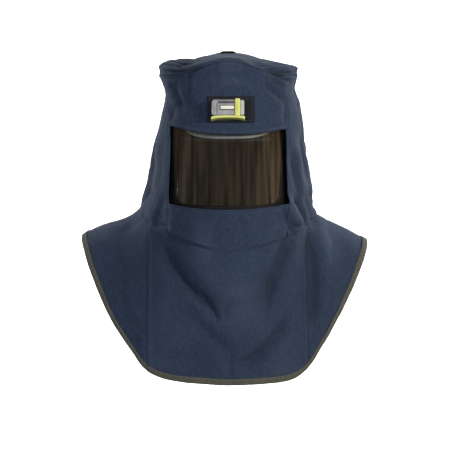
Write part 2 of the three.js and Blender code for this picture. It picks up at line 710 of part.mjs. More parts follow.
function capPeak() {
  const rimAt = (x) => -CAP_FRONT * Math.sqrt(1 - (x / CAP_SIDE) ** 2) + CAP_WALL * 0.6;
  const skin = (lift) => shares(4).map((b) => shares(16).map((a) => {
    const share = 2 * a - 1;
    const reach = b * mix(BRIM_END, 1, Math.sqrt(1 - share ** 4));
    const x = share * BRIM_HALF;
    const front = visorPoint(x, carrierTop, -VISOR_WALL - BRIM_SET_BACK).y;
    const y = mix(rimAt(x), front, reach);
    return vector(x, y, mix(BRIM_WALL / 2, -BRIM_DROP, reach) - CAP_RIM_DROP + lift);
  }));
  return solidBetween(skin(0), skin(-BRIM_WALL));
}

function hardCap() {
  return fromSolid(toSolid(capDome()).add(toSolid(capPeak())));
}

// A box with chamfered long edges, centred, its length along X.
function chamferedBar(length, depth, height, chamfer) {
  const y = depth / 2;
  const z = height / 2;
  const outline = [
    [-y, -z + chamfer], [-y, z - chamfer], [-y + chamfer, z], [y - chamfer, z],
    [y, z - chamfer], [y, -z + chamfer], [y - chamfer, -z], [-y + chamfer, -z],
  ];
  return sweep([-length / 2, length / 2].map((x) => outline.map(([py, pz]) => vector(x, py, pz))), false);
}

// Lamp, in its own frame: X along it, -Y away from the forehead, Z up, origin on the patch's face
const lampEnd = LAMP_LENGTH / 2;
const bodyEnd = lampEnd - LENS_LENGTH - FIT;
const bandStart = bodyEnd - BAND_WIDTH;
const plateMiddle = bandStart - PLATE_FROM_BAND - PLATE_LENGTH / 2;
const lampMiddle = -FIT - LAMP_DEPTH / 2;

function lampBody() {
  const length = bodyEnd + lampEnd;
  const bar = chamferedBar(length, LAMP_DEPTH, LAMP_HEIGHT, LAMP_CHAMFER);
  bar.translate(bodyEnd - length / 2, lampMiddle, 0);
  const slot = new THREE.BoxGeometry(BAND_WALL, LAMP_CHAMFER, LAMP_SLOT);
  slot.translate(-lampEnd + LAMP_SLOT_IN, lampMiddle - LAMP_DEPTH / 2, 0);
  const seat = new THREE.BoxGeometry(PLATE_LENGTH + 2 * FIT, 2 * PLATE_WALL, PLATE_HEIGHT + 2 * FIT);
  seat.translate(plateMiddle, lampMiddle - LAMP_DEPTH / 2, 0);
  return fromSolid(toSolid(bar).subtract(toSolid(slot)).subtract(toSolid(seat)));
}

function lampPlate() {
  const plate = new THREE.BoxGeometry(PLATE_LENGTH, PLATE_WALL, PLATE_HEIGHT);
  plate.translate(plateMiddle, lampMiddle - LAMP_DEPTH / 2 + PLATE_WALL / 2 - FIT, 0);
  return plate;
}

function lampLens() {
  const lens = chamferedBar(LENS_LENGTH, LAMP_DEPTH - LENS_INSET, LAMP_HEIGHT - LENS_INSET, LAMP_CHAMFER);
  return lens.translate(lampEnd - LENS_LENGTH / 2, lampMiddle, 0);
}

// The band goes round the body and joins the bar under the lamp, whose ends drop as feet.
function lampClip() {
  const bandHeight = LAMP_HEIGHT + 2 * (BAND_WALL + FIT);
  const band = chamferedBar(BAND_WIDTH, LAMP_DEPTH + 2 * BAND_WALL, bandHeight, LAMP_CHAMFER);
  band.translate(bandStart + BAND_WIDTH / 2, lampMiddle - BAND_WALL + FIT, 0);
  const hole = chamferedBar(BAND_WIDTH * 2, LAMP_DEPTH + 2 * FIT, LAMP_HEIGHT + 2 * FIT, LAMP_CHAMFER);
  hole.translate(bandStart + BAND_WIDTH / 2, lampMiddle, 0);
  const back = new THREE.BoxGeometry(BAND_WIDTH * 2, LAMP_DEPTH, LAMP_HEIGHT * 2);
  back.translate(bandStart + BAND_WIDTH / 2, LAMP_DEPTH / 2 - FIT, 0);
  const ledgeLength = LAMP_LENGTH + 2 * LEDGE_REACH;
  const ledgeTop = -LAMP_HEIGHT / 2 - FIT;
  const ledge = chamferedBar(ledgeLength, LAMP_DEPTH, LEDGE_WALL, LEDGE_WALL / 4);
  ledge.translate(0, lampMiddle, ledgeTop - LEDGE_WALL / 2);
  let clip = toSolid(band).subtract(toSolid(hole)).subtract(toSolid(back)).add(toSolid(ledge));
  for (const side of [-1, 1]) {
    const foot = chamferedBar(FOOT_LENGTH, LAMP_DEPTH, LEDGE_WALL + FOOT_DROP, LEDGE_WALL / 4);
    const end = side * (ledgeLength - FOOT_LENGTH) / 2;
    foot.translate(end, lampMiddle, ledgeTop - (LEDGE_WALL + FOOT_DROP) / 2);
    clip = clip.add(toSolid(foot));
  }
  return fromSolid(clip);
}

// The patch follows the forehead's cloth.
function patchPlace(a, b) {
  const z = -LAMP_DROP + (0.5 - b) * PATCH_HEIGHT;
  return frontPoint(PATCH_SHIFT + (a - 0.5) * PATCH_WIDTH, z);
}

// An arch of webbing with two feet sewn to the crown.
function hangLoop() {
  const half = LOOP_LENGTH / 2;
  const top = CROWN_TOP + LOOP_RISE;
  const feet = CROWN_TOP + FIT;
  const line = (wallIn) => [
    [-half - LOOP_FOOT, feet + (wallIn ? 0 : LOOP_WALL)],
    [-half, feet + (wallIn ? 0 : LOOP_WALL)],
    [-half + LOOP_FOOT, top - wallIn],
    [half - LOOP_FOOT, top - wallIn],
    [half, feet + (wallIn ? 0 : LOOP_WALL)],
    [half + LOOP_FOOT, feet + (wallIn ? 0 : LOOP_WALL)],
  ];
  const edge = (wallIn, y) => line(wallIn).map(([x, z]) => vector(x, y, z));
  const skin = (wallIn) => [edge(wallIn, -LOOP_WIDTH / 2), edge(wallIn, LOOP_WIDTH / 2)];
  return solidBetween(skin(0), skin(LOOP_WALL));
}

// Materials
const cloth = new THREE.MeshStandardMaterial({ color: 0x2b3a50, roughness: 0.9 });
const tape = new THREE.MeshStandardMaterial({ color: 0x3a3a3c, roughness: 0.9 });
const hookLoop = new THREE.MeshStandardMaterial({ color: 0x15171b, roughness: 1 });
const glass = new THREE.MeshStandardMaterial({ color: 0x4a4f4a, roughness: 0.1 });
glass.transparent = true;
glass.opacity = 0.6;
const rubber = new THREE.MeshStandardMaterial({ color: 0x0c0c0d, roughness: 0.6 });
const capPlastic = new THREE.MeshStandardMaterial({ color: 0xb9bdbd, roughness: 0.4 });
const barPlastic = new THREE.MeshStandardMaterial({ color: 0x16181a, roughness: 0.6 });
const lampPlastic = new THREE.MeshStandardMaterial({ color: 0x8f9296, roughness: 0.4 });
const whitePlastic = new THREE.MeshStandardMaterial({ color: 0xe8e8e6, roughness: 0.5 });
const yellowPlastic = new THREE.MeshStandardMaterial({ color: 0xd7e021, roughness: 0.5 });
const clearPlastic = new THREE.MeshStandardMaterial({ color: 0xdfe3e4, roughness: 0.1 });
const webbing = new THREE.MeshStandardMaterial({ color: 0x20262e, roughness: 0.9 });

const hood = new THREE.Group();

function add(name, geometry, material, parent = hood) {
  const mesh = new THREE.Mesh(geometry, material);
  mesh.name = name;
  parent.add(mesh);
  return mesh;
}

function addCloth(name, place, columns, rows) {
  return add(name, wall(folded(place, clothFolds), columns, rows, CLOTH), cloth);
}

const crownSkin = folded(crownPlace, crownFolds);

// The crown's normal lies level at its rim, where the cloth turns down to its seam.
const RIM_INSET = 0.02;
function crownNormal(a, b) {
  const normal = normalAt(crownSkin, mix(a, 0.5, RIM_INSET), mix(b, 0.5, RIM_INSET));
  const toRim = 1 - Math.max(Math.abs(2 * a - 1), Math.abs(2 * b - 1));
  return normal.setZ(normal.z * clamp(toRim / RIM_INSET)).normalize();
}

add('crown_panel', wall(crownSkin, CROWN_ROWS, CROWN_ROWS, CLOTH, 0, crownNormal), cloth);
addCloth('forehead_panel', foreheadPlace, shares(14), [0, 0.06, 0.14, 0.26, 0.42, 0.6, 0.8, 1]);
addCloth('chin_panel', chinPlace, shares(14), [0, 0.25, 0.5, 0.75, 1]);
addCloth('cheek_panel_left', leftCheekPlace, shares(9), HOOD_ROWS);
addCloth('cheek_panel_right', rightCheekPlace, shares(9), HOOD_ROWS);
addCloth('back_panel', backPlace, shares(16), HOOD_ROWS);
for (const [name, place] of Object.entries(CAPE_PLACES)) {
  addCloth(name, place, shares(CAPE_COLUMNS[name]), CAPE_ROWS);
}
add('hem_binding', hemBinding(), tape);

add('visor', visor(), glass);
add('visor_gasket', visorGasket(), rubber);
add('visor_carrier', visorCarrier(), barPlastic);
add('hard_cap', hardCap(), capPlastic);

add('lamp_patch', wall(patchPlace, shares(6), shares(3), PATCH_WALL, PATCH_WALL + FIT), hookLoop);
const lampNormal = normalAt(patchPlace, 0.5 - PATCH_SHIFT / PATCH_WIDTH, 0.5);
const lamp = new THREE.Group();
lamp.position.copy(patchPlace(0.5 - PATCH_SHIFT / PATCH_WIDTH, 0.5));
lamp.position.addScaledVector(lampNormal, PATCH_WALL + FIT);
lamp.rotation.x = Math.atan2(lampNormal.z, -lampNormal.y) * -1;
hood.add(lamp);
add('lamp_body', lampBody(), lampPlastic, lamp);
add('lamp_plate', lampPlate(), whitePlastic, lamp);
add('lamp_lens', lampLens(), clearPlastic, lamp);
add('lamp_clip', lampClip(), yellowPlastic, lamp);

add('hang_loop', hangLoop(), webbing);

export default hood;
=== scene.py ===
"""Arc flash hood: sewn cloth hood and cape, curved tinted window, hard cap inside, work lamp in front."""
import math

import bmesh
import bpy
import numpy as np
from mathutils import Matrix, Vector


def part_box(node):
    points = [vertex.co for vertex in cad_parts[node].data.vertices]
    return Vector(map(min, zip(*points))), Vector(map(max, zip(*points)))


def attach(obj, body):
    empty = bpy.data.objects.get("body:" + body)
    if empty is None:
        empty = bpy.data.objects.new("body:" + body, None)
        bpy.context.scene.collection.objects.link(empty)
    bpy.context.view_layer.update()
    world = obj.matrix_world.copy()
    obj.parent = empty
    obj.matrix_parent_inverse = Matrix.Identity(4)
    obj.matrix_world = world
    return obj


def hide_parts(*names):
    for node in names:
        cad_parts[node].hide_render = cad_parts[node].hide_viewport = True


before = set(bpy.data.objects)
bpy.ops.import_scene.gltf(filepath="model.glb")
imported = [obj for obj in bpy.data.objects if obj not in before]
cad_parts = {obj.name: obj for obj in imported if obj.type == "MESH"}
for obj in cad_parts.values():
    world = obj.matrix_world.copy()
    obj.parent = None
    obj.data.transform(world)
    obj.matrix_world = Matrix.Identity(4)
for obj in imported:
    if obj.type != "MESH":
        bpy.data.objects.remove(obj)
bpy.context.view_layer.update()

# Sizes are in millimetres and turn into metres when a mesh is made
MM = 0.001
CLOTH = 2.0
SEAM_GAP = 0.6
FIT = 0.4

# Sizes that the frame gives
CROWN_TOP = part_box("crown_panel")[1].z / MM
SHOULDER_LEFT = -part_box("cape_left")[0].x / MM
SHOULDER_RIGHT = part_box("cape_right")[1].x / MM
HEM_DROP = -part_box("bib_front")[0].z / MM
BACK_HEM_DROP = -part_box("bib_back")[0].z / MM

# Hood round the head, as in the frame
CROWN_EDGE = 8
CROWN_FRONT_LIFT = 27
CROWN_BACK_LIFT = 10
CROWN_ROUND_LEFT = 1.0
CROWN_ROUND_RIGHT = 0.7
NECK_DROP = 264
NECK_FRONT_SAG = 44
NECK_BACK_SAG = 16
NECK_TILT = 14
NECK_SIDE = 172
FRONT_REACH = 178
BACK_REACH = 165
SIDE_SEAM = math.radians(104)

# Cape over the shoulders
SHOULDER_DROP = 316
SHOULDER_TILT = 8
HEM_FRONT = 185
HEM_BACK = 190
HEM_SQUARE = 2.2
NECK_SLOPES = (math.radians(42), math.radians(31))
SHOULDER_SLOPES = (math.radians(36), math.radians(25))
NECK_PULL = 0.25
HEM_PULL = 0.4
SIDEWAYS_POWER = 2.5
BIB_SEAM = 152
BIB_BULGE = 0.16
BINDING_WIDTH = 11
BINDING_WALL = 1.0
BINDING_WAVE = 0.35
BINDING_WAVE_SIZE = 14
BINDING_WAVE_SEED = 21

# Window
WINDOW_TOP = 90
WINDOW_TOP_DROOP = 8
WINDOW_TILT = 9
WINDOW_BOTTOM = 227
WINDOW_BOTTOM_DROOP = 3
WINDOW_TOP_HALF = 107
WINDOW_LIFT_LEFT = 4
WINDOW_LIFT_RIGHT = 7
WINDOW_BOTTOM_HALF = 112

# Visor and edging
VISOR_WALL = 2
VISOR_RADIUS = 132
VISOR_LEAN = 0.075
VISOR_SET_BACK = 6.5
VISOR_LAP = 4
VISOR_OVER = 14
VISOR_BOTTOM = 292
EDGING_WALL = 1.2
EDGING_LAP = 3
EDGING_FIT = 0.65
GLASS_TOP_HALF = 101
GLASS_BOTTOM_HALF = 95
GLASS_CORNER = 14
EDGING_STRIP = 5
CARRIER_HALF = 82
CARRIER_DEPTH = 14
CARRIER_HEIGHT = 5

# Hard cap
CAP_WALL = 2.5
CAP_GAP = 0.5
CAP_SIDE = 106
CAP_FRONT = 122
CAP_BACK = 134
CAP_ROUND = 2.5
CAP_RIM_DROP = 80
BRIM_HALF = 84
BRIM_DROP = 19
BRIM_WALL = 4
BRIM_SET_BACK = 3

# Lamp, patch and loop
LAMP_DROP = 50
LAMP_LENGTH = 58
LAMP_HEIGHT = 29
LAMP_DEPTH = 17
PATCH_WIDTH = 84
PATCH_HEIGHT = 46
PATCH_WALL = 2
PATCH_SHIFT = 5
PATCH_SEW_INSET = 3.0
PATCH_FUZZ = 0.25
LOOP_LENGTH = 34
LOOP_WIDTH = 20
LOOP_RISE = 6
LOOP_WALL = 1.8
LOOP_FOOT = 6

# Level rings of the hood: the share of the way from the crown's edge to the neck, the reach to the
# left, right, front and back as a share of the neck's, and the squareness of the left and right
RINGS = np.array([
    (-0.12, 0.78, 0.78, 0.78, 0.90, 2.7, 2.7),
    (0.00, 0.775, 0.78, 0.82, 0.91, 2.7, 2.7),
    (0.05, 0.745, 0.765, 0.845, 0.91, 2.7, 2.7),
    (0.10, 0.72, 0.75, 0.87, 0.92, 2.8, 2.7),
    (0.19, 0.72, 0.81, 0.91, 0.93, 2.9, 2.6),
    (0.27, 0.75, 0.84, 0.945, 0.94, 2.9, 2.5),
    (0.36, 0.78, 0.86, 0.965, 0.95, 2.8, 2.4),
    (0.48, 0.84, 0.88, 0.98, 0.97, 2.4, 2.2),
    (0.66, 0.90, 0.925, 0.995, 0.99, 2.1, 2.0),
    (0.85, 0.96, 0.968, 1.01, 1.00, 1.9, 1.9),
    (1.00, 1.03, 1.005, 1.01, 1.00, 1.9, 1.9),
    (1.20, 1.05, 1.01, 1.01, 1.00, 1.9, 1.9),
])

# The hem's rise towards the shoulder: share across, then share of the rise on the left and right
HEM_LINE = np.array([
    (0, 0, 0),
    (0.3, 0.018, 0.013),
    (0.45, 0.048, 0.038),
    (0.55, 0.112, 0.117),
    (0.65, 0.255, 0.278),
    (0.75, 0.41, 0.46),
    (0.85, 0.62, 0.66),
    (0.93, 0.83, 0.835),
    (1, 1, 1),
])

# Folds of the front as lines across and up, in millimetres from the origin. Depth is that of a
# valley, less than 0 for a ridge, width is its half width, lean raises one lip, and a low crisp
# gives a sharp crease.
FRONT_FOLDS = [
    # path, depth, width, lean, crisp
    ([(-126, -268), (-116, -328), (-88, -366), (-46, -402), (-8, -446)], 10, 18, 0.5, 1.4),
    ([(-104, -300), (-98, -346), (-70, -386), (-32, -420), (-12, -448)], 3.5, 5, 0.8, 1.4),
    ([(-66, -372), (-40, -396), (-22, -424), (-14, -450)], 2.5, 4.5, -0.6, 1.4),
    ([(-96, -399), (-61, -439), (-12, -490), (22, -520)], 4, 16, 0.5, 1.7),
    ([(6, -388), (-2, -412), (-10, -444)], 2.5, 7, 0.4, 1.6),
    ([(114, -264), (113, -304), (103, -336), (85, -378), (72, -436)], 10, 15, -0.7, 1.5),
    ([(92, -348), (80, -388), (72, -432)], 4, 4.5, -0.9, 1.4),
    ([(148, -262), (160, -306), (167, -361), (164, -419), (156, -486)], 13, 15, -0.5, 1.5),
    ([(172, -262), (186, -320), (196, -380)], -5, 20, 0.2, 1.8),
    ([(122, -412), (86, -468), (45, -508), (0, -528)], 7.5, 10, 0.8, 1.4),
    ([(1, -500), (3, -528), (5, -556)], 3, 6, 0.3, 1.6),
    ([(-170, -262), (-146, -271), (-122, -270), (-100, -264)], 4, 6, 0.3, 1.5),
    ([(-132, -240), (-139, -258), (-136, -282)], 3, 5, 0.4, 1.5),
    ([(106, -206), (126, -246), (148, -290)], -9, 7, 0.3, 1.6),
    ([(120, -200), (142, -246), (156, -280)], 9, 6, -0.6, 1.4),
    ([(98, -226), (112, -258), (128, -296)], 6, 5, 0.6, 1.5),
    ([(146, -216), (160, -250), (170, -288)], 8, 6, 0.5, 1.5),
    ([(118, -270), (140, -276), (166, -266)], 7, 4.5, 0.3, 1.4),
    ([(-120, -92), (-128, -145), (-134, -220)], 5, 11, 0.5, 1.6),
    ([(-138, -130), (-152, -190), (-164, -250)], 5, 11, 0.4, 1.6),
    ([(-118, -205), (-128, -238), (-136, -272)], 5, 8, 0.5, 1.5),
    ([(112, -96), (132, -140), (137, -183), (149, -236)], -6, 8, 0.3, 1.6),
    ([(118, -124), (122, -160), (133, -204), (141, -246)], 7, 8, 0.4, 1.5),
    ([(128, -90), (146, -150), (152, -210)], 5, 9, 0.3, 1.6),
    ([(106, -10), (106, -49), (103, -92)], 4, 7, 0.3, 1.6),
    ([(64, -2), (84, -18), (106, -38)], 6, 6, 0.6, 1.5),
    ([(74, 12), (92, -4), (114, -14)], 5, 6, 0.5, 1.5),
    ([(-112, 2), (-94, -28), (-86, -60)], 4.5, 8, 0.5, 1.6),
    ([(-124, -20), (-108, -46), (-104, -80)], 4, 8, 0.4, 1.6),
    ([(-84, 8), (-49, 11), (4, 12), (64, 11)], 2.2, 5, 0, 1.5),
    ([(-140, 24), (-100, 27), (-74, 33), (-46, 40)], 8, 4.5, 0.6, 1.5),
    ([(-138, 14), (-94, 16), (-66, 18), (-40, 28)], 8, 5, 0.6, 1.5),
    ([(-132, 2), (-96, 4), (-60, 11)], 5, 4.5, 0.5, 1.5),
    ([(26, 38), (68, 25), (108, 8)], 7, 5, 0.6, 1.5),
    ([(60, 30), (93, 8), (124, -8)], 8, 5.5, 0.6, 1.5),
    ([(88, 22), (108, 12), (132, 8)], 5, 5, 0.5, 1.5),
]

# Folds of the back, in the same way
BACK_FOLDS = [
    ([(-85, -262), (-100, -380), (-124, -525)], 12, 18, 0.4, 1.6),
    ([(74, -266), (92, -380), (104, -515)], 12, 18, -0.4, 1.6),
    ([(-20, -280), (-6, -390), (-22, -540)], 9, 20, 0.3, 1.7),
    ([(30, -400), (44, -470), (36, -545)], 6, 12, 0.3, 1.6),
    ([(-14, -120), (2, -210), (10, -290)], 7, 16, 0.3, 1.6),
    ([(-60, -60), (-76, -150), (-64, -250)], 7, 12, 0.5, 1.6),
    ([(58, -50), (74, -150), (86, -250)], 7, 12, -0.5, 1.6),
    ([(-100, -20), (-96, -70), (-70, -110)], 5, 8, 0.4, 1.5),
    ([(100, -30), (92, -80), (60, -118)], 5, 8, -0.4, 1.5),
    ([(150, -290), (168, -380), (160, -470)], 8, 16, 0, 1.7),
    ([(-152, -290), (-174, -390), (-164, -480)], 8, 16, 0, 1.7),
    ([(-130, -262), (-60, -284), (0, -276), (70, -282), (136, -258)], 6, 8, 0.4, 1.5),
]

# Folds of both sides, as lines from front to back and up
SIDE_FOLDS = [
    ([(-84, -30), (-50, -110), (-36, -230)], 7, 12, 0.4, 1.6),
    ([(-6, -16), (18, -120), (2, -250)], 8, 14, -0.4, 1.6),
    ([(84, -40), (62, -150), (76, -250)], 7, 12, 0.4, 1.6),
    ([(40, -10), (46, -60), (70, -110)], 5, 8, 0.4, 1.5),
    ([(-64, -196), (-20, -244), (24, -262)], 7, 8, 0.4, 1.5),
    ([(24, -206), (60, -248), (92, -266)], 6, 8, 0.4, 1.5),
    ([(-40, -262), (-58, -300), (-92, -352)], 6, 12, 0.4, 1.6),
    ([(44, -264), (66, -304), (100, -352)], 6, 12, -0.4, 1.6),
]

# Folds of the crown seen from above, as shares of its reach across and towards the back
CROWN_FOLDS = [
    ([(-1.02, -0.30), (-0.72, -0.52), (-0.46, -0.66)], 9, 7, 0.7, 1.3),
    ([(-1.02, 0.02), (-0.72, -0.24), (-0.44, -0.46)], 9, 7, 0.7, 1.3),
    ([(-0.96, 0.34), (-0.66, 0.10), (-0.42, -0.16)], 6, 10, 0.6, 1.4),
    ([(-0.80, -0.60), (-0.62, -0.66), (-0.44, -0.76)], 4, 7, 0.4, 1.4),
    ([(0.34, -0.84), (0.62, -0.62), (0.98, -0.36)], 9, 7, 0.7, 1.3),
    ([(0.50, -0.56), (0.72, -0.36), (0.98, -0.12)], 8, 7, 0.7, 1.3),
    ([(0.44, -0.16), (0.68, 0.08), (0.95, 0.26)], 5, 12, 0.4, 1.6),
    ([(-0.30, 0.92), (-0.12, 0.64), (-0.16, 0.36)], 4, 13, 0.3, 1.6),
    ([(0.36, 0.86), (0.30, 0.60), (0.40, 0.34)], 4, 12, 0.3, 1.6),
]


def mix(a, b, share):
    return a + (b - a) * share


def smooth(value):
    value = np.clip(value, 0, 1)
    return value * value * (3 - 2 * value)


def points_of(*coordinates):
    """Points, or places on flat cloth, from their coordinates."""
    return np.stack(np.broadcast_arrays(*coordinates), -1)


def unit(vectors):
    return vectors / np.maximum(np.linalg.norm(vectors, axis=-1, keepdims=True), 1e-9)


def column(table, index, at):
    """A smooth curve through one column of a table, at values of its first column."""
    x = table[:, 0]
    y = table[:, index]
    slopes = np.gradient(y, x, edge_order=1)
    slopes[1:-1] = (y[2:] - y[:-2]) / (x[2:] - x[:-2])
    at = np.asarray(at, float)
    i = np.clip(np.searchsorted(x, at) - 1, 0, len(x) - 2)
    span = x[i + 1] - x[i]
    t = np.clip((at - x[i]) / span, 0, 1)
    start = y[i] * (1 + 2 * t) * (1 - t) ** 2 + slopes[i] * span * t * (1 - t) ** 2
    end = y[i + 1] * t * t * (3 - 2 * t) - slopes[i + 1] * span * t * t * (1 - t)
    return start + end


def ring_at(z):
    at = (CROWN_EDGE - z) / (CROWN_EDGE + NECK_DROP)
    reaches = (NECK_SIDE, NECK_SIDE, FRONT_REACH, BACK_REACH, 1, 1)
    return [reach * column(RINGS, i + 1, at) for i, reach in enumerate(reaches)]


def ring_point(angle, z):
    """The hood's point at an angle from the front towards +X, at a height."""
    left, right, front, back, square_left, square_right = ring_at(z)
    across = np.sin(angle)
    ahead = np.cos(angle)
    is_left = across < 0
    square = np.where(is_left, square_left, square_right)
    side = np.abs(across) / np.where(is_left, left, right)
    forward = np.abs(ahead) / np.where(ahead > 0, front, back)
    reach = (side ** square + forward ** square) ** (-1 / square)
    return np.stack([reach * across, -reach * ahead, z + 0 * reach], -1)


EDGE_RING = ring_at(np.float64(CROWN_EDGE))
NECK_RING = ring_at(np.float64(-NECK_DROP))


def share_across(ring, x):
    return np.minimum(np.abs(x) / np.where(x < 0, ring[0], ring[1]), 1)


def crown_edge_height(x, is_front):
    share = share_across(EDGE_RING, x)
    front = CROWN_FRONT_LIFT * (1 - share ** 2) ** 4
    back = CROWN_BACK_LIFT * (1 - share ** 2) ** 2
    return CROWN_EDGE + np.where(is_front, front, back)


def neck_height(x, is_front):
    share = share_across(NECK_RING, x)
    front = NECK_FRONT_SAG * (1 - share ** 1.5)
    back = NECK_BACK_SAG * (1 - share ** 2)
    return -NECK_DROP - np.where(is_front, front, back) - NECK_TILT * x / (2 * NECK_SIDE)


def line_point(angle, height_at, first_z):
    """A point of the line that the height function draws round the hood."""
    point = ring_point(angle, first_z + 0 * angle)
    for _ in range(4):
        point = ring_point(angle, height_at(point[..., 0], np.cos(angle) > 0))
    return point


def crown_rim(angle):
    return line_point(angle, crown_edge_height, CROWN_EDGE)


def neck_point(angle):
    return line_point(angle, neck_height, -NECK_DROP)


def front_point(x, z):
    ring = ring_at(z)
    square = np.where(x < 0, ring[4], ring[5])
    y = -ring[2] * (1 - share_across(ring, x) ** square) ** (1 / square)
    return points_of(x, y, z)


def window_half(z):
    return mix(WINDOW_BOTTOM_HALF, WINDOW_TOP_HALF, (z + WINDOW_BOTTOM) / (WINDOW_BOTTOM - WINDOW_TOP))


def window_top(x):
    share = x / WINDOW_TOP_HALF
    lift = mix(WINDOW_LIFT_LEFT, WINDOW_LIFT_RIGHT, smooth((share + 0.2) / 1.2))
    return lift - WINDOW_TOP - WINDOW_TOP_DROOP * (1 - share ** 2) - WINDOW_TILT * share / 2


def window_bottom(x):
    share = x / WINDOW_BOTTOM_HALF
    return -WINDOW_BOTTOM - WINDOW_BOTTOM_DROOP * (1 - share ** 2)


# The cloth bulges out over the crown's seam at both sides
CROWN_OVERHANG = 0.045

# Places where the crown sags: middle across, width and depth in millimetres
CROWN_SLACK = [
    (-66, 34, 8),
    (86, 38, 7.5),
    (0, 24, 1.8),
]


def crown_place(a, b):
    """The crown as a square of cloth drawn out to its round rim. Past the rim it turns down."""
    s = 2 * a - 1
    t = 2 * b - 1
    over = np.maximum(np.maximum(np.abs(s), np.abs(t)) - 1, 0)
    s = np.clip(s, -1, 1)
    t = np.clip(t, -1, 1)
    x = s * np.sqrt(1 - t * t / 2)
    ahead = t * np.sqrt(1 - s * s / 2)
    share = np.minimum(np.hypot(x, ahead), 1)
    angle = np.arctan2(x, ahead)
    rim = crown_rim(angle)
    rounded = mix(CROWN_ROUND_LEFT, CROWN_ROUND_RIGHT, (1 + np.sin(angle)) / 2)
    dome = 1 - (1 - share ** 3) ** (1 / 3)
    drop = rounded * dome + (1 - rounded) * share ** 1.5
    slack = 0
    for middle, width, depth in CROWN_SLACK:
        slack = slack + depth * np.exp(-((x * EDGE_RING[0] - middle) / width) ** 2)
    overhang = 1 + CROWN_OVERHANG * 4 * share ** 12 * (1 - share ** 12)
    z = mix(CROWN_TOP, rim[..., 2], drop) - over * EDGE_RING[0] - slack * (1 - share ** 6)
    return np.stack([rim[..., 0] * share * overhang, rim[..., 1] * share, z], -1)


def front_panel(top_at, bottom_at):
    def place(a, b):
        def across(z):
            return (2 * a - 1) * (window_half(z) - SEAM_GAP / 2)

        top = top_at(across(CROWN_EDGE))
        bottom = bottom_at(across(-WINDOW_BOTTOM))
        for _ in range(3):
            top = top_at(across(top))
            bottom = bottom_at(across(bottom))
        z = mix(top, bottom, b)
        return front_point(across(z), z)

    return place


def side_panel(from_angle, to_angle):
    def place(a, b):
        top = CROWN_EDGE
        bottom = -NECK_DROP
        for _ in range(3):
            top = crown_rim(mix(from_angle(top), to_angle(top), a))[..., 2] - SEAM_GAP
            bottom = neck_point(mix(from_angle(bottom), to_angle(bottom), a))[..., 2] + SEAM_GAP / 2
        z = mix(top, bottom, b)
        return ring_point(mix(from_angle(z), to_angle(z), a), z)

    return place


def window_angle(sign):
    def angle(z):
        point = front_point(sign * (window_half(z) + SEAM_GAP / 2), np.asarray(z, float))
        return np.arctan2(point[..., 0], -point[..., 1])

    return angle


def hem_point(angle):
    is_front = np.cos(angle) > 0
    power = 2 / HEM_SQUARE
    is_left = np.sin(angle) < 0
    side = np.where(is_left, -SHOULDER_LEFT, SHOULDER_RIGHT)
    share = np.abs(np.sin(angle)) ** power
    ahead = np.abs(np.cos(angle)) ** power
    low = np.where(is_front, HEM_DROP, BACK_HEM_DROP)
    rise = np.where(is_left, column(HEM_LINE, 1, share), column(HEM_LINE, 2, share))
    top = SHOULDER_DROP + np.sign(side) * SHOULDER_TILT / 2
    y = np.where(is_front, -HEM_FRONT, HEM_BACK) * ahead
    return np.stack([side * share, y, -mix(low, top, rise)], -1)


# How far the left shoulder sags below a straight run of cloth
LEFT_SHOULDER_SAG = 7


def cape_point(angle, down):
    """The cape from the neck to the hem, on a curve that starts and ends in the cloth's direction."""
    start = neck_point(angle)
    end = hem_point(angle)
    span = np.linalg.norm(end - start, axis=-1, keepdims=True)
    sideways = (np.abs(np.sin(angle)) ** SIDEWAYS_POWER)[..., None]
    is_left = np.sin(angle) < 0
    sign = np.sign(np.sin(angle))

    def outward(slopes):
        slope = np.where(is_left, slopes[0], slopes[1])
        return np.stack([sign * np.cos(slope), 0 * slope, -np.sin(slope)], -1)

    hanging = np.stack([0 * sign, -np.sign(np.cos(angle)) * BIB_BULGE, 0 * sign - 1], -1)
    from_neck = unit(mix(hanging, outward(NECK_SLOPES), sideways))
    to_hem = unit(mix(np.array([0, 0, -1.0]), outward(SHOULDER_SLOPES), sideways))
    after_neck = start + from_neck * span * NECK_PULL
    before_hem = end - to_hem * span * HEM_PULL
    t = (down + 0 * angle)[..., None]
    ends = start * (1 - t) ** 3 + end * t ** 3
    place = ends + 3 * after_neck * t * (1 - t) ** 2 + 3 * before_hem * t * t * (1 - t)
    sag = np.where(is_left, LEFT_SHOULDER_SAG, 0)[..., None] * sideways
    return place - np.array([0, 0, 1.0]) * sag * 6.75 * t * (1 - t) ** 2


def cape_angle(x, is_front):
    def at(down):
        low = 0 * down
        high = 0 * down + math.pi / 2
        for _ in range(24):
            middle = (low + high) / 2
            angle = (middle if is_front else math.pi - middle) * np.sign(x)
            inside = np.abs(cape_point(angle, down)[..., 0]) < abs(x)
            low = np.where(inside, middle, low)
            high = np.where(inside, high, middle)
        return (low if is_front else math.pi - low) * np.sign(x)

    return at


def cape_panel(from_angle, to_angle):
    def place(a, b):
        rows = b[..., :1]
        start = from_angle(rows)
        end = to_angle(rows)
        end = np.where(end < start, end + 2 * math.pi, end)
        return cape_point(mix(start, end, a), b)

    return place


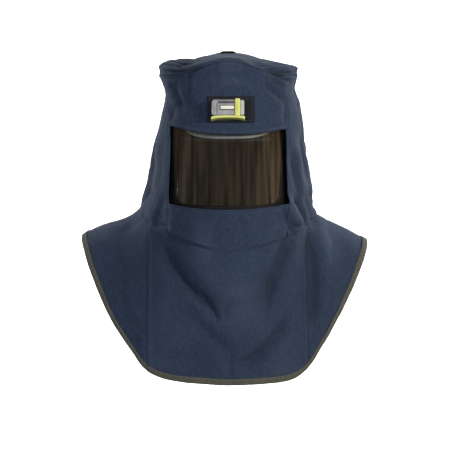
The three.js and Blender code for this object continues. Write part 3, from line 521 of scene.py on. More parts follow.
SEAM_TURN = SEAM_GAP / 2 / NECK_SIDE
HALF_GAP = SEAM_GAP / 2
BIB_INNER = BIB_SEAM - HALF_GAP
BIB_OUTER = BIB_SEAM + HALF_GAP
PLACES = {
    "crown_panel": crown_place,
    "forehead_panel": front_panel(lambda x: crown_edge_height(x, True) - SEAM_GAP, window_top),
    "chin_panel": front_panel(window_bottom, lambda x: neck_height(x, True) + HALF_GAP),
    "cheek_panel_right": side_panel(window_angle(1), lambda z: SIDE_SEAM - SEAM_TURN),
    "cheek_panel_left": side_panel(lambda z: -SIDE_SEAM + SEAM_TURN, window_angle(-1)),
    "back_panel": side_panel(lambda z: SIDE_SEAM + SEAM_TURN,
                             lambda z: 2 * math.pi - SIDE_SEAM - SEAM_TURN),
    "bib_front": cape_panel(cape_angle(-BIB_INNER, True), cape_angle(BIB_INNER, True)),
    "cape_right": cape_panel(cape_angle(BIB_OUTER, True), cape_angle(BIB_OUTER, False)),
    "bib_back": cape_panel(cape_angle(BIB_INNER, False), cape_angle(-BIB_INNER, False)),
    "cape_left": cape_panel(cape_angle(-BIB_OUTER, False), cape_angle(-BIB_OUTER, True)),
}


def normals_of(place, a, b):
    """The outward normals of a skin, where a runs towards +X at the front and b runs down."""
    step = 0.002
    across = place(a + step, b) - place(a - step, b)
    down = place(a, b + step) - place(a, b - step)
    return unit(np.cross(down, across))


CROWN_NORMAL_INSET = 0.02


def crown_normals(a, b):
    """The crown's normals, level at the rim where the cloth turns down."""
    inset = CROWN_NORMAL_INSET
    a_in = mix(np.clip(a, 0, 1), 0.5, inset)
    b_in = mix(np.clip(b, 0, 1), 0.5, inset)
    normals = normals_of(crown_place, a_in, b_in)
    to_rim = 1 - np.maximum(np.abs(2 * a - 1), np.abs(2 * b - 1))
    normals[..., 2] *= np.clip(to_rim / 0.04, 0, 1)
    return unit(normals)


def noise(points, size, seed):
    """Smooth values from -1 to 1 with bumps about size across."""
    p = points / size
    cell = np.floor(p).astype(np.int64)
    f = p - cell
    f = f * f * f * (f * (f * 6 - 15) + 10)
    total = np.zeros(points.shape[:-1])
    for corner in np.ndindex(2, 2, 2):
        c = cell + np.array(corner)
        h = c[..., 0] * 73856093 ^ c[..., 1] * 19349663 ^ c[..., 2] * 83492791 ^ (seed * 1000003)
        h = (h ^ (h >> 13)) * 1274126177
        value = ((h ^ (h >> 16)) & 0xFFFFF) / 0x7FFFF - 1
        total += value * np.prod(np.where(corner, f, 1 - f), axis=-1)
    return total


def creases(points, size, seed):
    """Sharp lines between soft bulges, as cloth takes when it is pushed together."""
    ridge = 1 - np.abs(noise(points, size, seed)) * 3
    return -np.clip(ridge, 0, 1) ** 1.5 * smooth(noise(points, size * 1.7, seed + 5) * 2 + 0.5)


def fold(places, path, depth, width, lean, crisp):
    """The height that one fold gives at flat places."""
    path = np.array(path, float)
    ends = np.vstack([2 * path[0] - path[1], path, 2 * path[-1] - path[-2]])
    steps = np.linspace(0, 1, 5)[:-1]
    line = []
    for i in range(len(path) - 1):
        p0, p1, p2, p3 = ends[i:i + 4]
        for t in steps:
            line.append(0.5 * (2 * p1 + (p2 - p0) * t + (2 * p0 - 5 * p1 + 4 * p2 - p3) * t * t
                               + (3 * p1 - p0 - 3 * p2 + p3) * t ** 3))
    line.append(path[-1])
    line = np.array(line)
    low = line.min(0) - 3 * width
    high = line.max(0) + 3 * width
    flat = places.reshape(-1, 2)
    near = np.all((flat > low) & (flat < high), axis=1)
    height = np.zeros(len(flat))
    here = flat[near]
    if not len(here):
        return height.reshape(places.shape[:-1])
    best = np.full(len(here), 1e9)
    signed = np.zeros(len(here))
    along = np.zeros(len(here))
    count = len(line) - 1
    for i in range(count):
        span = line[i + 1] - line[i]
        length = np.hypot(*span)
        t = np.clip((here - line[i]) @ span / length ** 2, 0, 1)
        off = here - line[i] - t[:, None] * span
        distance = np.hypot(off[:, 0], off[:, 1])
        side = (span[1] * off[:, 0] - span[0] * off[:, 1]) / length
        closer = distance < best
        best = np.where(closer, distance, best)
        signed = np.where(closer, np.sign(side) * distance, signed)
        along = np.where(closer, (i + t) / count, along)
    q = signed / width
    fade = smooth(along / 0.3) * smooth((1 - along) / 0.3)
    height[near] = depth * fade * (lean * q - 1) * np.exp(-np.abs(q) ** crisp)
    return height.reshape(places.shape[:-1])


# Seeded dents and creases: depth and size in millimetres, and seed. Tall ones are longer upright.
DENT_STRENGTH = 1.25
TALL_STRETCH = 0.45
TALL_DENTS = [(2.2, 92, 1), (1.5, 46, 2)]
FINE_DENTS = [(0.6, 24, 3)]
TALL_CREASES = [(2.4, 44, 41)]
FINE_CREASES = [(1.3, 27, 42)]

# The cloth stays flat up to these distances from the lamp and the window, and moves freely beyond
LAMP_CALM = 44
LAMP_CALM_FADE = 26
WINDOW_CALM = 3
WINDOW_CALM_FADE = 30


def layers(kind, points, rows):
    return sum(depth * kind(points, size, seed) for depth, size, seed in rows)


def drape(points, normals):
    """How far the cloth stands out from its plain form: its folds, dents and slack."""
    x, y, z = np.moveaxis(points, -1, 0)
    height = np.zeros(x.shape)
    front = smooth(-y / 40)
    back = smooth(y / 40)
    flat = points[..., [0, 2]]
    for row in FRONT_FOLDS:
        height += front * fold(flat, *row)
    for row in BACK_FOLDS:
        height += back * fold(flat, *row)
    side = smooth((np.abs(normals[..., 0]) - 0.45) / 0.4)
    for row in SIDE_FOLDS:
        height += side * fold(points[..., [1, 2]], *row)
    top = smooth((normals[..., 2] - 0.15) / 0.5) * smooth((z + 30) / 30)
    reach = np.array([EDGE_RING[0], EDGE_RING[2]])
    for row in CROWN_FOLDS:
        height += top * fold(points[..., :2], [np.array(p) * reach for p in row[0]], *row[1:])
    tall = points * np.array([1, 1, TALL_STRETCH])
    dents = layers(noise, tall, TALL_DENTS) + layers(noise, points, FINE_DENTS)
    creased = smooth((z + 300) / 60) * mix(1, 0.45, front * smooth((110 - np.abs(x)) / 30))
    lines = layers(creases, tall, TALL_CREASES) + layers(creases, points, FINE_CREASES)
    dents = dents + mix(0.35, 1, creased) * lines
    off_lamp = smooth((np.hypot(x - PATCH_SHIFT, (z + LAMP_DROP) * 1.4) - LAMP_CALM) / LAMP_CALM_FADE)
    off_lamp = np.where(y < 0, off_lamp, 1)
    half = window_half(z)
    beside = np.maximum(np.maximum(np.abs(x) - half, window_bottom(x) - z), z - window_top(x))
    off_window = np.where(y < 0, mix(0.25, 1, smooth((beside - WINDOW_CALM) / WINDOW_CALM_FADE)), 1)
    return (height * mix(0.65, 1, off_window) + DENT_STRENGTH * dents * off_window) * off_lamp


# How a panel's edges are sewn, at its left, right, top and bottom. over laps onto its neighbour, under
# runs below it, flush meets it, merge runs on into it, open is a turned edge, hem lies in the binding.
# The numbers are the distances of the rows of stitches from the edge.
SEAMS = {
    "crown_panel": ("under", "under", "under", "under"),
    "forehead_panel": ("flush", "flush", "over 3", "open 5"),
    "chin_panel": ("flush", "flush", "open 6.5", "merge"),
    "cheek_panel_right": ("merge 5", "over 3 10", "over 3", "over"),
    "cheek_panel_left": ("over 3 10", "merge 5", "over 3", "over"),
    "back_panel": ("under", "under", "over 3", "over"),
    "bib_front": ("over 2.5 10", "over 2.5 10", "under", "hem"),
    "cape_right": ("under", "under", "under", "hem"),
    "bib_back": ("over 2.5 10", "over 2.5 10", "under", "hem"),
    "cape_left": ("under", "under", "under", "hem"),
}
ALLOWANCE = 6.0
LAP_RISE = 0.8
MERGE_REACH = SEAM_GAP * 0.8


def turned_edge(distance):
    """The roll of a folded edge: 1 at the edge itself, 0 from 1.6 mm on."""
    return 1 - np.sqrt(1 - np.clip(1 - distance / 1.6, 0, 1) ** 2)


def seam_height(kind, rows, distance):
    """The height near one edge, at distances from it. Below 0 is the allowance under the neighbour."""
    dips = sum(0.5 * np.exp(-((distance - row) / 1.3) ** 2) for row in rows)
    beyond = np.maximum(distance, 0)
    if kind == "over":
        inside = max(rows, default=4) + 1.5
        return LAP_RISE * (1 - smooth((distance - inside) / 2.5)) - 1.2 * turned_edge(distance) - dips
    if kind == "under":
        return -0.5 * np.exp(-beyond / 4) - 2.1 * smooth((0.6 - distance) / 2.4) - dips
    if kind == "merge":
        return -0.3 * np.exp(-beyond / 1.5) - dips
    if kind == "flush":
        return -2.3 * smooth((0.2 - distance) / 1.2)
    if kind == "open":
        return 0.5 * (1 - smooth((distance - 6.5) / 2.5)) - 0.5 * turned_edge(distance) - dips
    return 0 * distance


def stations(length, spacing, before, after):
    """Distances along a length, closer together near both ends, past which the allowances go."""
    edge = np.array([0, 0.7, 1.5, 2.4, 3.4, 4.6, 6, 7.5, 9, 10.5, 12.5])
    middle = np.linspace(15, length - 15, max(int((length - 30) / spacing), 2) + 1)
    past = np.array([0.6, 1.5, 3, ALLOWANCE])
    rows = [edge, middle, length - edge]
    if before:
        rows.append(-past)
    if after:
        rows.append(length + past)
    return np.unique(np.round(np.concatenate(rows), 4))


def grid_normals(points):
    down = np.gradient(points, axis=0)
    across = np.gradient(points, axis=1)
    return unit(np.cross(down, across))


def lengths_along(points, axis):
    """Distances along a row or a grid of points, from its first ones."""
    steps = np.linalg.norm(np.diff(points, axis=axis), axis=-1)
    return np.concatenate([0 * np.take(steps, [0], axis), np.cumsum(steps, axis=axis)], axis=axis)


# Folds run on across the neck seam, because both sides of it move in one level direction
NECK_BLEND = 14


def near_neck(name, b, length):
    """1 at the neck seam and less away from it, on the cloth above and below."""
    if name.startswith(("crown", "forehead")):
        return 0 * b
    away = b if name.startswith(("bib", "cape")) else 1 - b
    return np.exp(-np.maximum(away, 0) * length / NECK_BLEND)


# The chin hangs over the bib at both sides and runs into it smoothly in the middle
CHIN_BULGE = 3.5
CHIN_TUCK = 2.5

# Puckers along the seams: size, seed, reach from the edge, and height with and without stitches
PUCKER_SIZE = 11
PUCKER_SEED = 7
PUCKER_REACH = 9
PUCKER_SEWN = 0.5
PUCKER_PLAIN = 0.25

# The fold height in millimetres between the darkest valley, darkened as painted shade, and the most rubbed
# ridge, lightened partly by wear and partly as a painted highlight
WEAR_AND_SHADE_HEIGHT = 20


def chin_sides(x):
    return smooth((np.abs(x - 4) - 22) / 30) * (1 - smooth((np.abs(x) - 104) / 10))


class Panel:
    """One cut piece of the hood's cloth, with its seams, folds and stitch lines."""

    def __init__(self, name, spacing):
        self.name = name
        self.place = PLACES[name]
        self.seams = {}
        for side, text in zip(("left", "right", "top", "bottom"), SEAMS[name]):
            kind, *rows = text.split()
            self.seams[side] = kind, [float(row) for row in rows]
        self.probe = np.linspace(0, 1, 41)
        b, a = np.meshgrid(self.probe, self.probe, indexing="ij")
        base = self.place(a, b)
        self.across = lengths_along(base, 1).mean(0)
        self.down = lengths_along(base, 0).mean(1)
        self.width = self.across[-1]
        self.length = self.down[-1]
        cells = np.cross(np.diff(base, axis=0)[:, :-1], np.diff(base, axis=1)[:-1])
        self.area = np.linalg.norm(cells, axis=-1).sum()
        past = {side: kind in ("under", "flush") for side, (kind, _) in self.seams.items()}
        self.columns = stations(self.width, spacing, past["left"], past["right"])
        self.rows = stations(self.length, spacing, past["top"], past["bottom"])
        if self.seams["bottom"][0] == "merge":
            self.rows = np.append(self.rows, self.length + MERGE_REACH)
        self.make()

    def shares(self, distances, lengths):
        inner = np.interp(distances, lengths, self.probe)
        return inner + (distances - np.clip(distances, 0, lengths[-1])) / lengths[-1]

    def make(self):
        b, a = np.meshgrid(self.shares(self.rows, self.down), self.shares(self.columns, self.across),
                           indexing="ij")
        base = self.place(a, b)
        is_crown = self.name == "crown_panel"
        normals = crown_normals(a, b) if is_crown else normals_of(self.place, a, b)
        height = drape(base, normals)
        level = unit(base * np.array([1, 1, 0]))
        outward = unit(mix(normals, level, near_neck(self.name, b, self.length)[..., None]))
        draped = base + outward * height[..., None]
        if not is_crown:
            normals = grid_normals(draped)
        first_row = np.searchsorted(self.rows, 0)
        last_row = np.searchsorted(self.rows, round(self.length, 4))
        first_column = np.searchsorted(self.columns, 0)
        last_column = np.searchsorted(self.columns, round(self.width, 4))
        self.span = (slice(first_row, last_row + 1), slice(first_column, last_column + 1))
        across = lengths_along(base, 1)
        down = lengths_along(base, 0)
        self.distances = {
            "left": across - across[:, [first_column]],
            "right": across[:, [last_column]] - across,
            "top": down - down[[first_row]],
            "bottom": down[[last_row]] - down,
        }
        relief = np.zeros(a.shape)
        pucker = np.zeros(a.shape)
        for side, (kind, rows) in self.seams.items():
            distance = self.distances[side]
            relief += seam_height(kind, rows, distance)
            strength = PUCKER_SEWN if rows else PUCKER_PLAIN
            pucker += strength * np.exp(-np.maximum(distance, 0) / PUCKER_REACH)
        pucker *= noise(base, PUCKER_SIZE, PUCKER_SEED)
        if self.name == "chin_panel":
            gap = self.distances["bottom"]
            bulge = smooth(gap / 5) * np.exp(-np.maximum(gap - 5, 0) / 16)
            relief += CHIN_BULGE * chin_sides(base[..., 0]) * bulge
        if self.name == "bib_front":
            tuck = np.exp(-np.maximum(self.distances["top"], 0) / 7)
            relief -= CHIN_TUCK * chin_sides(base[..., 0]) * tuck
        self.outer = draped + normals * (relief + pucker)[..., None]
        self.normals = normals if is_crown else grid_normals(self.outer)
        self.inner = self.outer - self.normals * CLOTH
        # Fold height from 0 to 1, which the cloth's material turns into painted shade in the valleys and
        # lighter ridges, partly wear and partly painted highlight
        self.wear_and_painted_shade = np.clip(0.5 + height / WEAR_AND_SHADE_HEIGHT, 0, 1)

    def line(self, side, distance):
        """A row of points and normals on the cloth at a distance from one edge."""
        grids = [grid[self.span] for grid in (self.outer, self.normals, self.distances[side])]
        if side in ("top", "bottom"):
            grids = [np.swapaxes(grid, 0, 1) for grid in grids]
        points = []
        directions = []
        for p, n, d in zip(*grids):
            order = np.argsort(d)
            points.append([np.interp(distance, d[order], p[order, k]) for k in range(3)])
            directions.append([np.interp(distance, d[order], n[order, k]) for k in range(3)])
        return np.array(points), unit(np.array(directions))


def add_object(name, data):
    made = bpy.data.objects.new(name, data)
    bpy.context.scene.collection.objects.link(made)
    return made


def new_object(name, vertices, faces):
    mesh = bpy.data.meshes.new(name)
    mesh.from_pydata((np.asarray(vertices, float) * MM).tolist(), [], faces)
    mesh.update()
    mesh.shade_smooth()
    return add_object(name, mesh)


def round_grid(name, rings, closed=True):
    """A mesh of rings of points with the same number of points. closed joins the last to the first."""
    count, size = rings.shape[:2]
    r, i = np.meshgrid(np.arange(count if closed else count - 1), np.arange(size), indexing="ij")
    j = (i + 1) % size
    s = (r + 1) % count
    faces = np.stack([r * size + i, s * size + i, s * size + j, r * size + j], -1).reshape(-1, 4)
    return new_object(name, rings.reshape(-1, 3), faces.tolist())


def set_uv(mesh, uv):
    """Lays the vertices' places on the flat cloth, in units of 100 mm, into the UV map cloth."""
    loops = np.zeros(len(mesh.loops), np.int32)
    mesh.loops.foreach_get("vertex_index", loops)
    layer = mesh.uv_layers.new(name="cloth")
    layer.data.foreach_set("uv", (uv.reshape(-1, 2) / 100)[loops].astype(np.float32).ravel())


def grid_faces(rows, columns, base, flipped=False):
    r, c = np.meshgrid(np.arange(rows - 1), np.arange(columns - 1), indexing="ij")
    first = (base + r * columns + c).ravel()
    quads = np.stack([first, first + columns, first + columns + 1, first + 1], -1)
    if flipped:
        quads = quads[:, ::-1]
    return quads.tolist()


def shell(name, outer, inner, uv=None, materials=(), wear_and_painted_shade=None):
    """A closed wall between two grids of points. The inner side takes the second material."""
    rows, columns = outer.shape[:2]
    count = rows * columns
    vertices = np.concatenate([outer.reshape(-1, 3), inner.reshape(-1, 3)])
    faces = grid_faces(rows, columns, 0)
    inside = grid_faces(rows, columns, count, flipped=True)
    rim = [(0, c) for c in range(columns)] + [(r, columns - 1) for r in range(1, rows)]
    rim += [(rows - 1, c) for c in range(columns - 2, -1, -1)] + [(r, 0) for r in range(rows - 2, 0, -1)]
    ids = [r * columns + c for r, c in rim]
    border = [[i, j, j + count, i + count] for i, j in zip(ids, ids[1:] + ids[:1])]
    made = new_object(name, vertices, faces + inside + border)
    mesh = made.data
    for material in materials:
        mesh.materials.append(material)
    if len(materials) > 1:
        slots = np.zeros(len(mesh.polygons), np.int32)
        slots[len(faces):len(faces) + len(inside)] = 1
        mesh.polygons.foreach_set("material_index", slots)
    if uv is not None:
        set_uv(mesh, np.stack([uv, uv]))
    # The fold height per vertex, for the material's painted valley shade and lighter ridges
    if wear_and_painted_shade is not None:
        attribute = mesh.attributes.new("wear_and_painted_shade", "FLOAT", "POINT")
        attribute.data.foreach_set("value", np.concatenate([wear_and_painted_shade.ravel()] * 2).astype(np.float32))
    return made


def finish_piece(piece, slot, *nodes):
    """Rides the piece on the part's one body, in place of CAD nodes where any are named. The slot is not
    used.
    """
    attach(piece, "root")
    if nodes:
        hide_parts(*nodes)
    return piece


# Materials
def linear(hex_colour):
    """An sRGB hex colour as linear red, green, blue and alpha."""
    parts = [int(hex_colour[i:i + 2], 16) / 255 for i in (1, 3, 5)]
    return tuple([p / 12.92 if p <= 0.04045 else ((p + 0.055) / 1.055) ** 2.4 for p in parts] + [1])


def node(tree, kind, sockets=None, **settings):
    """Adds one node. A socket takes a value, or a link where it is given another node's output."""
    made = tree.nodes.new(kind)
    for key, value in settings.items():
        setattr(made, key, value)
    for key, value in (sockets or {}).items():
        if isinstance(value, bpy.types.NodeSocket):
            tree.links.new(value, made.inputs[key])
        else:
            made.inputs[key].default_value = value
    return made


def noise_value(tree, place, scale, detail, roughness=0.5):
    sockets = {"Vector": place, "Scale": scale, "Detail": detail, "Roughness": roughness}
    return node(tree, "ShaderNodeTexNoise", sockets).outputs["Fac"]


def scaled(tree, place, scale):
    return node(tree, "ShaderNodeMapping", {"Vector": place, "Scale": scale}).outputs["Vector"]


def blend(tree, share, first, second):
    return node(tree, "ShaderNodeMix", {0: share, 2: first, 3: second}, data_type="FLOAT").outputs[0]


def times(tree, first, second):
    return node(tree, "ShaderNodeMath", {0: first, 1: second}, operation="MULTIPLY").outputs[0]


def ramp(tree, value, stops):
    """The colour of a ramp fed by a value, with stops of place and colour."""
    made = node(tree, "ShaderNodeValToRGB", {"Fac": value})
    elements = made.color_ramp.elements
    while len(elements) < len(stops):
        elements.new(0.5)
    for element, (place, colour) in zip(elements, stops):
        element.position = place
        element.color = linear(colour) if isinstance(colour, str) else (colour, colour, colour, 1)
    return made.outputs["Color"]


def bumped(tree, shader, height, strength, distance):
    """Gives a shader relief of a strength and a depth in millimetres."""
    sockets = {"Height": height, "Strength": strength, "Distance": distance * MM}
    tree.links.new(node(tree, "ShaderNodeBump", sockets).outputs["Normal"], shader.inputs["Normal"])


def material(name, colour, roughness, metallic=0.0, **sockets):
    """A material with its shader's own sockets set, and its tree to add patterns to."""
    made = bpy.data.materials.new(name)
    made.use_nodes = True
    shader = made.node_tree.nodes["Principled BSDF"]
    shader.inputs["Base Color"].default_value = linear(colour)
    shader.inputs["Roughness"].default_value = roughness
    shader.inputs["Metallic"].default_value = metallic
    for key, value in sockets.items():
        shader.inputs[key.replace("_", " ")].default_value = value
    return made, made.node_tree, shader


# The wave texture makes a full turn in a twentieth of 2 pi at scale 1, here per 100 mm
WAVE_TURN = 100 * 2 * math.pi / 20


def woven(name, dark, light, thread, bump, mottle=0.5, sheen=0.1, worn_and_lit=None, gloss=0.25):
    """Woven cloth. Threads cross over and under every thread millimetres on the cloth's own UV map,
    whose unit is 100 mm; the eye gets a fine grain, soft sheen at the edges and slightly uneven dye."""
    made, tree, shader = material(name, dark, 0.92, Sheen_Weight=sheen, Sheen_Roughness=0.45)
    shader.inputs["Sheen Tint"].default_value = linear("#9aa8b8")
    shader.inputs["Specular IOR Level"].default_value = gloss
    place = node(tree, "ShaderNodeUVMap", uv_map="cloth").outputs["UV"]
    bands = {"Vector": place, "Scale": WAVE_TURN / thread, "Distortion": 0.6, "Detail": 1.0,
             "Detail Scale": 0.5}
    waves = [node(tree, "ShaderNodeTexWave", bands, bands_direction=direction).outputs["Fac"]
             for direction in ("X", "Y")]
    weave = times(tree, *waves)
    slub = noise_value(tree, scaled(tree, place, (100 / 3.4, 100 / 15, 1)), 1.0, 4.0, 0.65)
    dye = noise_value(tree, place, 100 / 6, 3.0, 0.6)
    tone = blend(tree, 0.35, blend(tree, 0.5, slub, weave), dye)
    spread = 0.28 * mottle
    colour = ramp(tree, tone, [(0.5 - spread, dark), (0.5 + spread, light)])
    # Painted light from the fold height: ridges go towards the lighter worn colour, partly rubbing and
    # partly a painted highlight, and valleys are darkened to 0.7 as painted shade
    if worn_and_lit:
        wear_and_painted_shade = node(tree, "ShaderNodeAttribute", attribute_name="wear_and_painted_shade").outputs["Fac"]
        rubbed_and_lit = {0: ramp(tree, wear_and_painted_shade, [(0.52, 0.0), (0.85, 0.35)]), 6: colour, 7: linear(worn_and_lit)}
        colour = node(tree, "ShaderNodeMix", rubbed_and_lit, data_type="RGBA").outputs[2]
        shaded = {0: 1.0, 6: colour, 7: ramp(tree, wear_and_painted_shade, [(0.05, 0.7), (0.5, 1.0)])}
        colour = node(tree, "ShaderNodeMix", shaded, data_type="RGBA", blend_type="MULTIPLY").outputs[2]
    tree.links.new(colour, shader.inputs["Base Color"])
    bumped(tree, shader, blend(tree, 0.6, weave, slub), bump, thread * 0.25)
    return made


# Flame-resistant woven cotton blend: matt navy with a fine even grain, rubbed lighter on its ridges,
# partly as a painted highlight, and with painted shade darkening its fold valleys
NAVY_CLOTH = woven("fr_cotton_navy", "#202c40", "#394963", 1.8, 0.6, mottle=0.75, worn_and_lit="#536077")
# The same blend undyed inside: a soft brown-grey that reads through the window's tint
LINING_CLOTH = woven("fr_cotton_lining", "#3a362d", "#4f493d", 1.8, 0.5)
# Woven cotton binding tape: olive grey, coarser threads
BINDING_TAPE = woven("cotton_tape_olive", "#454640", "#6c6b60", 1.1, 0.7)
# Nylon webbing: tight ribs with a slight gloss
WEBBING = woven("nylon_webbing_black", "#040506", "#090a0d", 1.8, 0.9, sheen=0, gloss=0.05)
# Spun polyester thread: a little lighter than the cloth
THREAD = material("polyester_thread_navy", "#35435a", 0.6, Sheen_Weight=0.3)[0]


def speckled(name, colour, other, roughness, grit, strength, **sockets):
    """Moulded plastic with a fine spark-eroded grit, so that its gloss breaks up softly."""
    made, tree, shader = material(name, colour, roughness, **sockets)
    place = node(tree, "ShaderNodeTexCoord").outputs["Object"]
    fine = noise_value(tree, place, 1 / (grit * MM), 2.0)
    broad = noise_value(tree, place, 1 / (18 * MM), 3.0)
    tree.links.new(ramp(tree, broad, [(0.3, colour), (0.7, other)]), shader.inputs["Base Color"])
    dulled = {"Value": broad, "To Min": roughness - 0.06, "To Max": roughness + 0.1}
    gloss = node(tree, "ShaderNodeMapRange", dulled).outputs["Result"]
    tree.links.new(gloss, shader.inputs["Roughness"])
    bumped(tree, shader, fine, strength, grit * 0.3)
    return made


# Injection-moulded HDPE shell: off-white, satin, so that the peak reads grey through the tint
CAP_PLASTIC = speckled("hdpe_shell_white", "#d6e3e8", "#e8f1f4", 0.34, 1.2, 0.12)
# Glass-filled nylon: matt near-black
CARRIER_PLASTIC = speckled("filled_nylon_black", "#101214", "#1a1d1f", 0.5, 0.9, 0.2)
# EPDM edging: soft matt black
EDGING_RUBBER = speckled("epdm_edging_black", "#050506", "#0a0a0b", 0.6, 0.8, 0.2, Specular_IOR_Level=0.2)
# ABS, painted silver grey: fine metallic lustre
LAMP_PLASTIC = speckled("abs_silver_grey", "#8d8f94", "#a9abb0", 0.32, 0.6, 0.12, metallic=0.35)
# Darker ABS in the recesses
LAMP_RECESS = speckled("abs_dark_grey", "#3c3b40", "#55535a", 0.45, 0.6, 0.15)
# Glossy ABS, white
PLATE_PLASTIC = speckled("abs_gloss_white", "#e6e6dd", "#f4f3ea", 0.22, 0.7, 0.05)
# TPE overmould: bright yellow-green, satin
CLIP_PLASTIC = speckled("tpe_yellow_green", "#ced668", "#dde388", 0.42, 0.8, 0.12)


def clear_sheet(name, dark, brown, alpha, roughness, streak):
    """Tinted polycarbonate: a smooth hard gloss, and faint upright streaks every streak millimetres,
    painted into its colour as reflections. They are drawn stronger than real, browner towards the sides,
    so that the eye reads a bent tinted sheet in front of a dark inside."""
    made, tree, shader = material(name, dark, roughness, IOR=1.58, Alpha=alpha, Coat_Weight=0.5,
                                  Coat_Roughness=0.04)
    place = node(tree, "ShaderNodeTexCoord").outputs["Object"]
    lines = noise_value(tree, scaled(tree, place, (1 / (streak * MM), 1 / (streak * MM), 0.7)), 1.0, 2.0)
    across = node(tree, "ShaderNodeSeparateXYZ", {"Vector": place}).outputs["X"]
    side = node(tree, "ShaderNodeMath", {0: across}, operation="ABSOLUTE").outputs[0]
    from_side = {"Value": side, "From Min": 0.035, "From Max": 0.085, "To Min": 0.35}
    outer = node(tree, "ShaderNodeMapRange", from_side).outputs["Result"]
    # Painted reflections: the streaks, stronger towards the sides, set the colour between the dark tint
    # and brown
    shaded = times(tree, ramp(tree, lines, [(0.34, 0.12), (0.62, 1.0)]), outer)
    tree.links.new(ramp(tree, shaded, [(0, dark), (1, brown)]), shader.inputs["Base Color"])
    return made


# Its upright brown streaks are painted reflections
VISOR_GLASS = clear_sheet("polycarbonate_tinted", "#070605", "#6b5e49", 0.32, 0.05, 9)
LAMP_CLEAR = material("polycarbonate_clear", "#cfd4d4", 0.08, IOR=1.58, Alpha=0.75, Coat_Weight=0.6)[0]
# Bright metal reflector behind the lamp's lens
REFLECTOR = material("aluminium_bright", "#d8dadb", 0.16, metallic=1.0)[0]
# Woven nylon hook-and-loop tape: dull black and fuzzy
HOOK_TAPE = speckled("nylon_loop_black", "#070c13", "#0f151d", 0.95, 1.4, 1.0)

# Cloth
SPACING = {"crown_panel": 5.0, "forehead_panel": 4.5, "chin_panel": 4.0, "bib_front": 4.0}
panels = {}
for name in PLACES:
    panel = Panel(name, SPACING.get(name, 5.0))
    panels[name] = panel
    v, u = np.meshgrid(-panel.rows, panel.columns, indexing="ij")
    uv = np.stack([u, v], -1)
    piece = shell(name.replace("_panel", "") + "_cloth", panel.outer, panel.inner, uv,
                  (NAVY_CLOTH, LINING_CLOTH), panel.wear_and_painted_shade)
    finish_piece(piece, "hood_fabric", name)


# Stitches: a Geometry Nodes tree lays short threads along paths
def stitch_tree():
    tree = bpy.data.node_groups.new("stitches_along_seams", "GeometryNodeTree")
    sockets = {"Geometry": "Geometry", "Pitch": "Float", "Stitch Size": "Vector", "Thread": "Material"}
    for name, kind in sockets.items():
        tree.interface.new_socket(name, in_out="INPUT", socket_type="NodeSocket" + kind)
    tree.interface.new_socket("Geometry", in_out="OUTPUT", socket_type="NodeSocketGeometry")
    entry = node(tree, "NodeGroupInput").outputs
    curve = node(tree, "GeometryNodeMeshToCurve", {"Mesh": entry["Geometry"]})
    even = node(tree, "GeometryNodeResampleCurve",
                {"Curve": curve.outputs["Curve"], "Length": entry["Pitch"]}, mode="LENGTH")
    tangent = node(tree, "GeometryNodeInputTangent").outputs["Tangent"]
    outward = node(tree, "GeometryNodeInputNamedAttribute", {"Name": "outward"}, data_type="FLOAT_VECTOR")
    axes = {"Primary Axis": tangent, "Secondary Axis": outward.outputs["Attribute"]}
    turn = node(tree, "FunctionNodeAxesToRotation", axes, primary_axis="X", secondary_axis="Z")
    bead = node(tree, "GeometryNodeMeshUVSphere", {"Segments": 6, "Rings": 4, "Radius": 0.5})
    shaped = node(tree, "GeometryNodeTransform",
                  {"Geometry": bead.outputs["Mesh"], "Scale": entry["Stitch Size"]})
    placed = node(tree, "GeometryNodeInstanceOnPoints",
                  {"Points": even.outputs["Curve"], "Instance": shaped.outputs["Geometry"],
                   "Rotation": turn.outputs["Rotation"]})
    real = node(tree, "GeometryNodeRealizeInstances", {"Geometry": placed.outputs["Instances"]})
    finish = node(tree, "GeometryNodeSetMaterial",
                  {"Geometry": real.outputs["Geometry"], "Material": entry["Thread"]})
    node(tree, "NodeGroupOutput", {"Geometry": finish.outputs["Geometry"]})
    return tree


def grown(name, base, tree, values):
    """The plain mesh that a Geometry Nodes tree makes of a base object, which is then removed."""
    modifier = base.modifiers.new("grow", "NODES")
    modifier.node_group = tree
    for item in tree.interface.items_tree:
        if item.in_out == "INPUT" and item.name in values:
            modifier[item.identifier] = values[item.name]
    bpy.context.view_layer.update()
    mesh = bpy.data.meshes.new_from_object(base.evaluated_get(bpy.context.evaluated_depsgraph_get()))
    made = add_object(name, mesh)
    bpy.data.objects.remove(base)
    return made


def path_object(name, lines):
    """Edges through lines of points, each with the direction that faces out of the cloth."""
    edges = []
    start = 0
    for points, _ in lines:
        edges += [(start + i, start + i + 1) for i in range(len(points) - 1)]
        start += len(points)
    mesh = bpy.data.meshes.new(name)
    mesh.from_pydata((np.concatenate([points for points, _ in lines]) * MM).tolist(), edges, [])
    directions = np.concatenate([normals for _, normals in lines])
    attribute = mesh.attributes.new("outward", "FLOAT_VECTOR", "POINT")
    attribute.data.foreach_set("vector", directions.astype(np.float32).ravel())
    return add_object(name, mesh)


STITCHES = stitch_tree()


def sew(name, lines, pitch=4.2, size=(3.1, 0.8, 0.7), slot="hood_fabric"):
    """Stitches along lines, pitch apart, each of a length, width and height."""
    values = {"Pitch": pitch * MM, "Stitch Size": [x * MM for x in size], "Thread": THREAD}
    made = grown(name, path_object(name + "_path", lines), STITCHES, values)
    made.data.shade_smooth()
    finish_piece(made, slot)


def stitch_lines(is_cape):
    """All rows of stitches on the cape or on the hood."""
    lines = []
    for name, panel in panels.items():
        if name.startswith(("bib", "cape")) == is_cape:
            for side, (_, rows) in panel.seams.items():
                lines += [panel.line(side, distance) for distance in rows]
    return lines


sew("hood_stitching", stitch_lines(False))
sew("cape_stitching", stitch_lines(True))


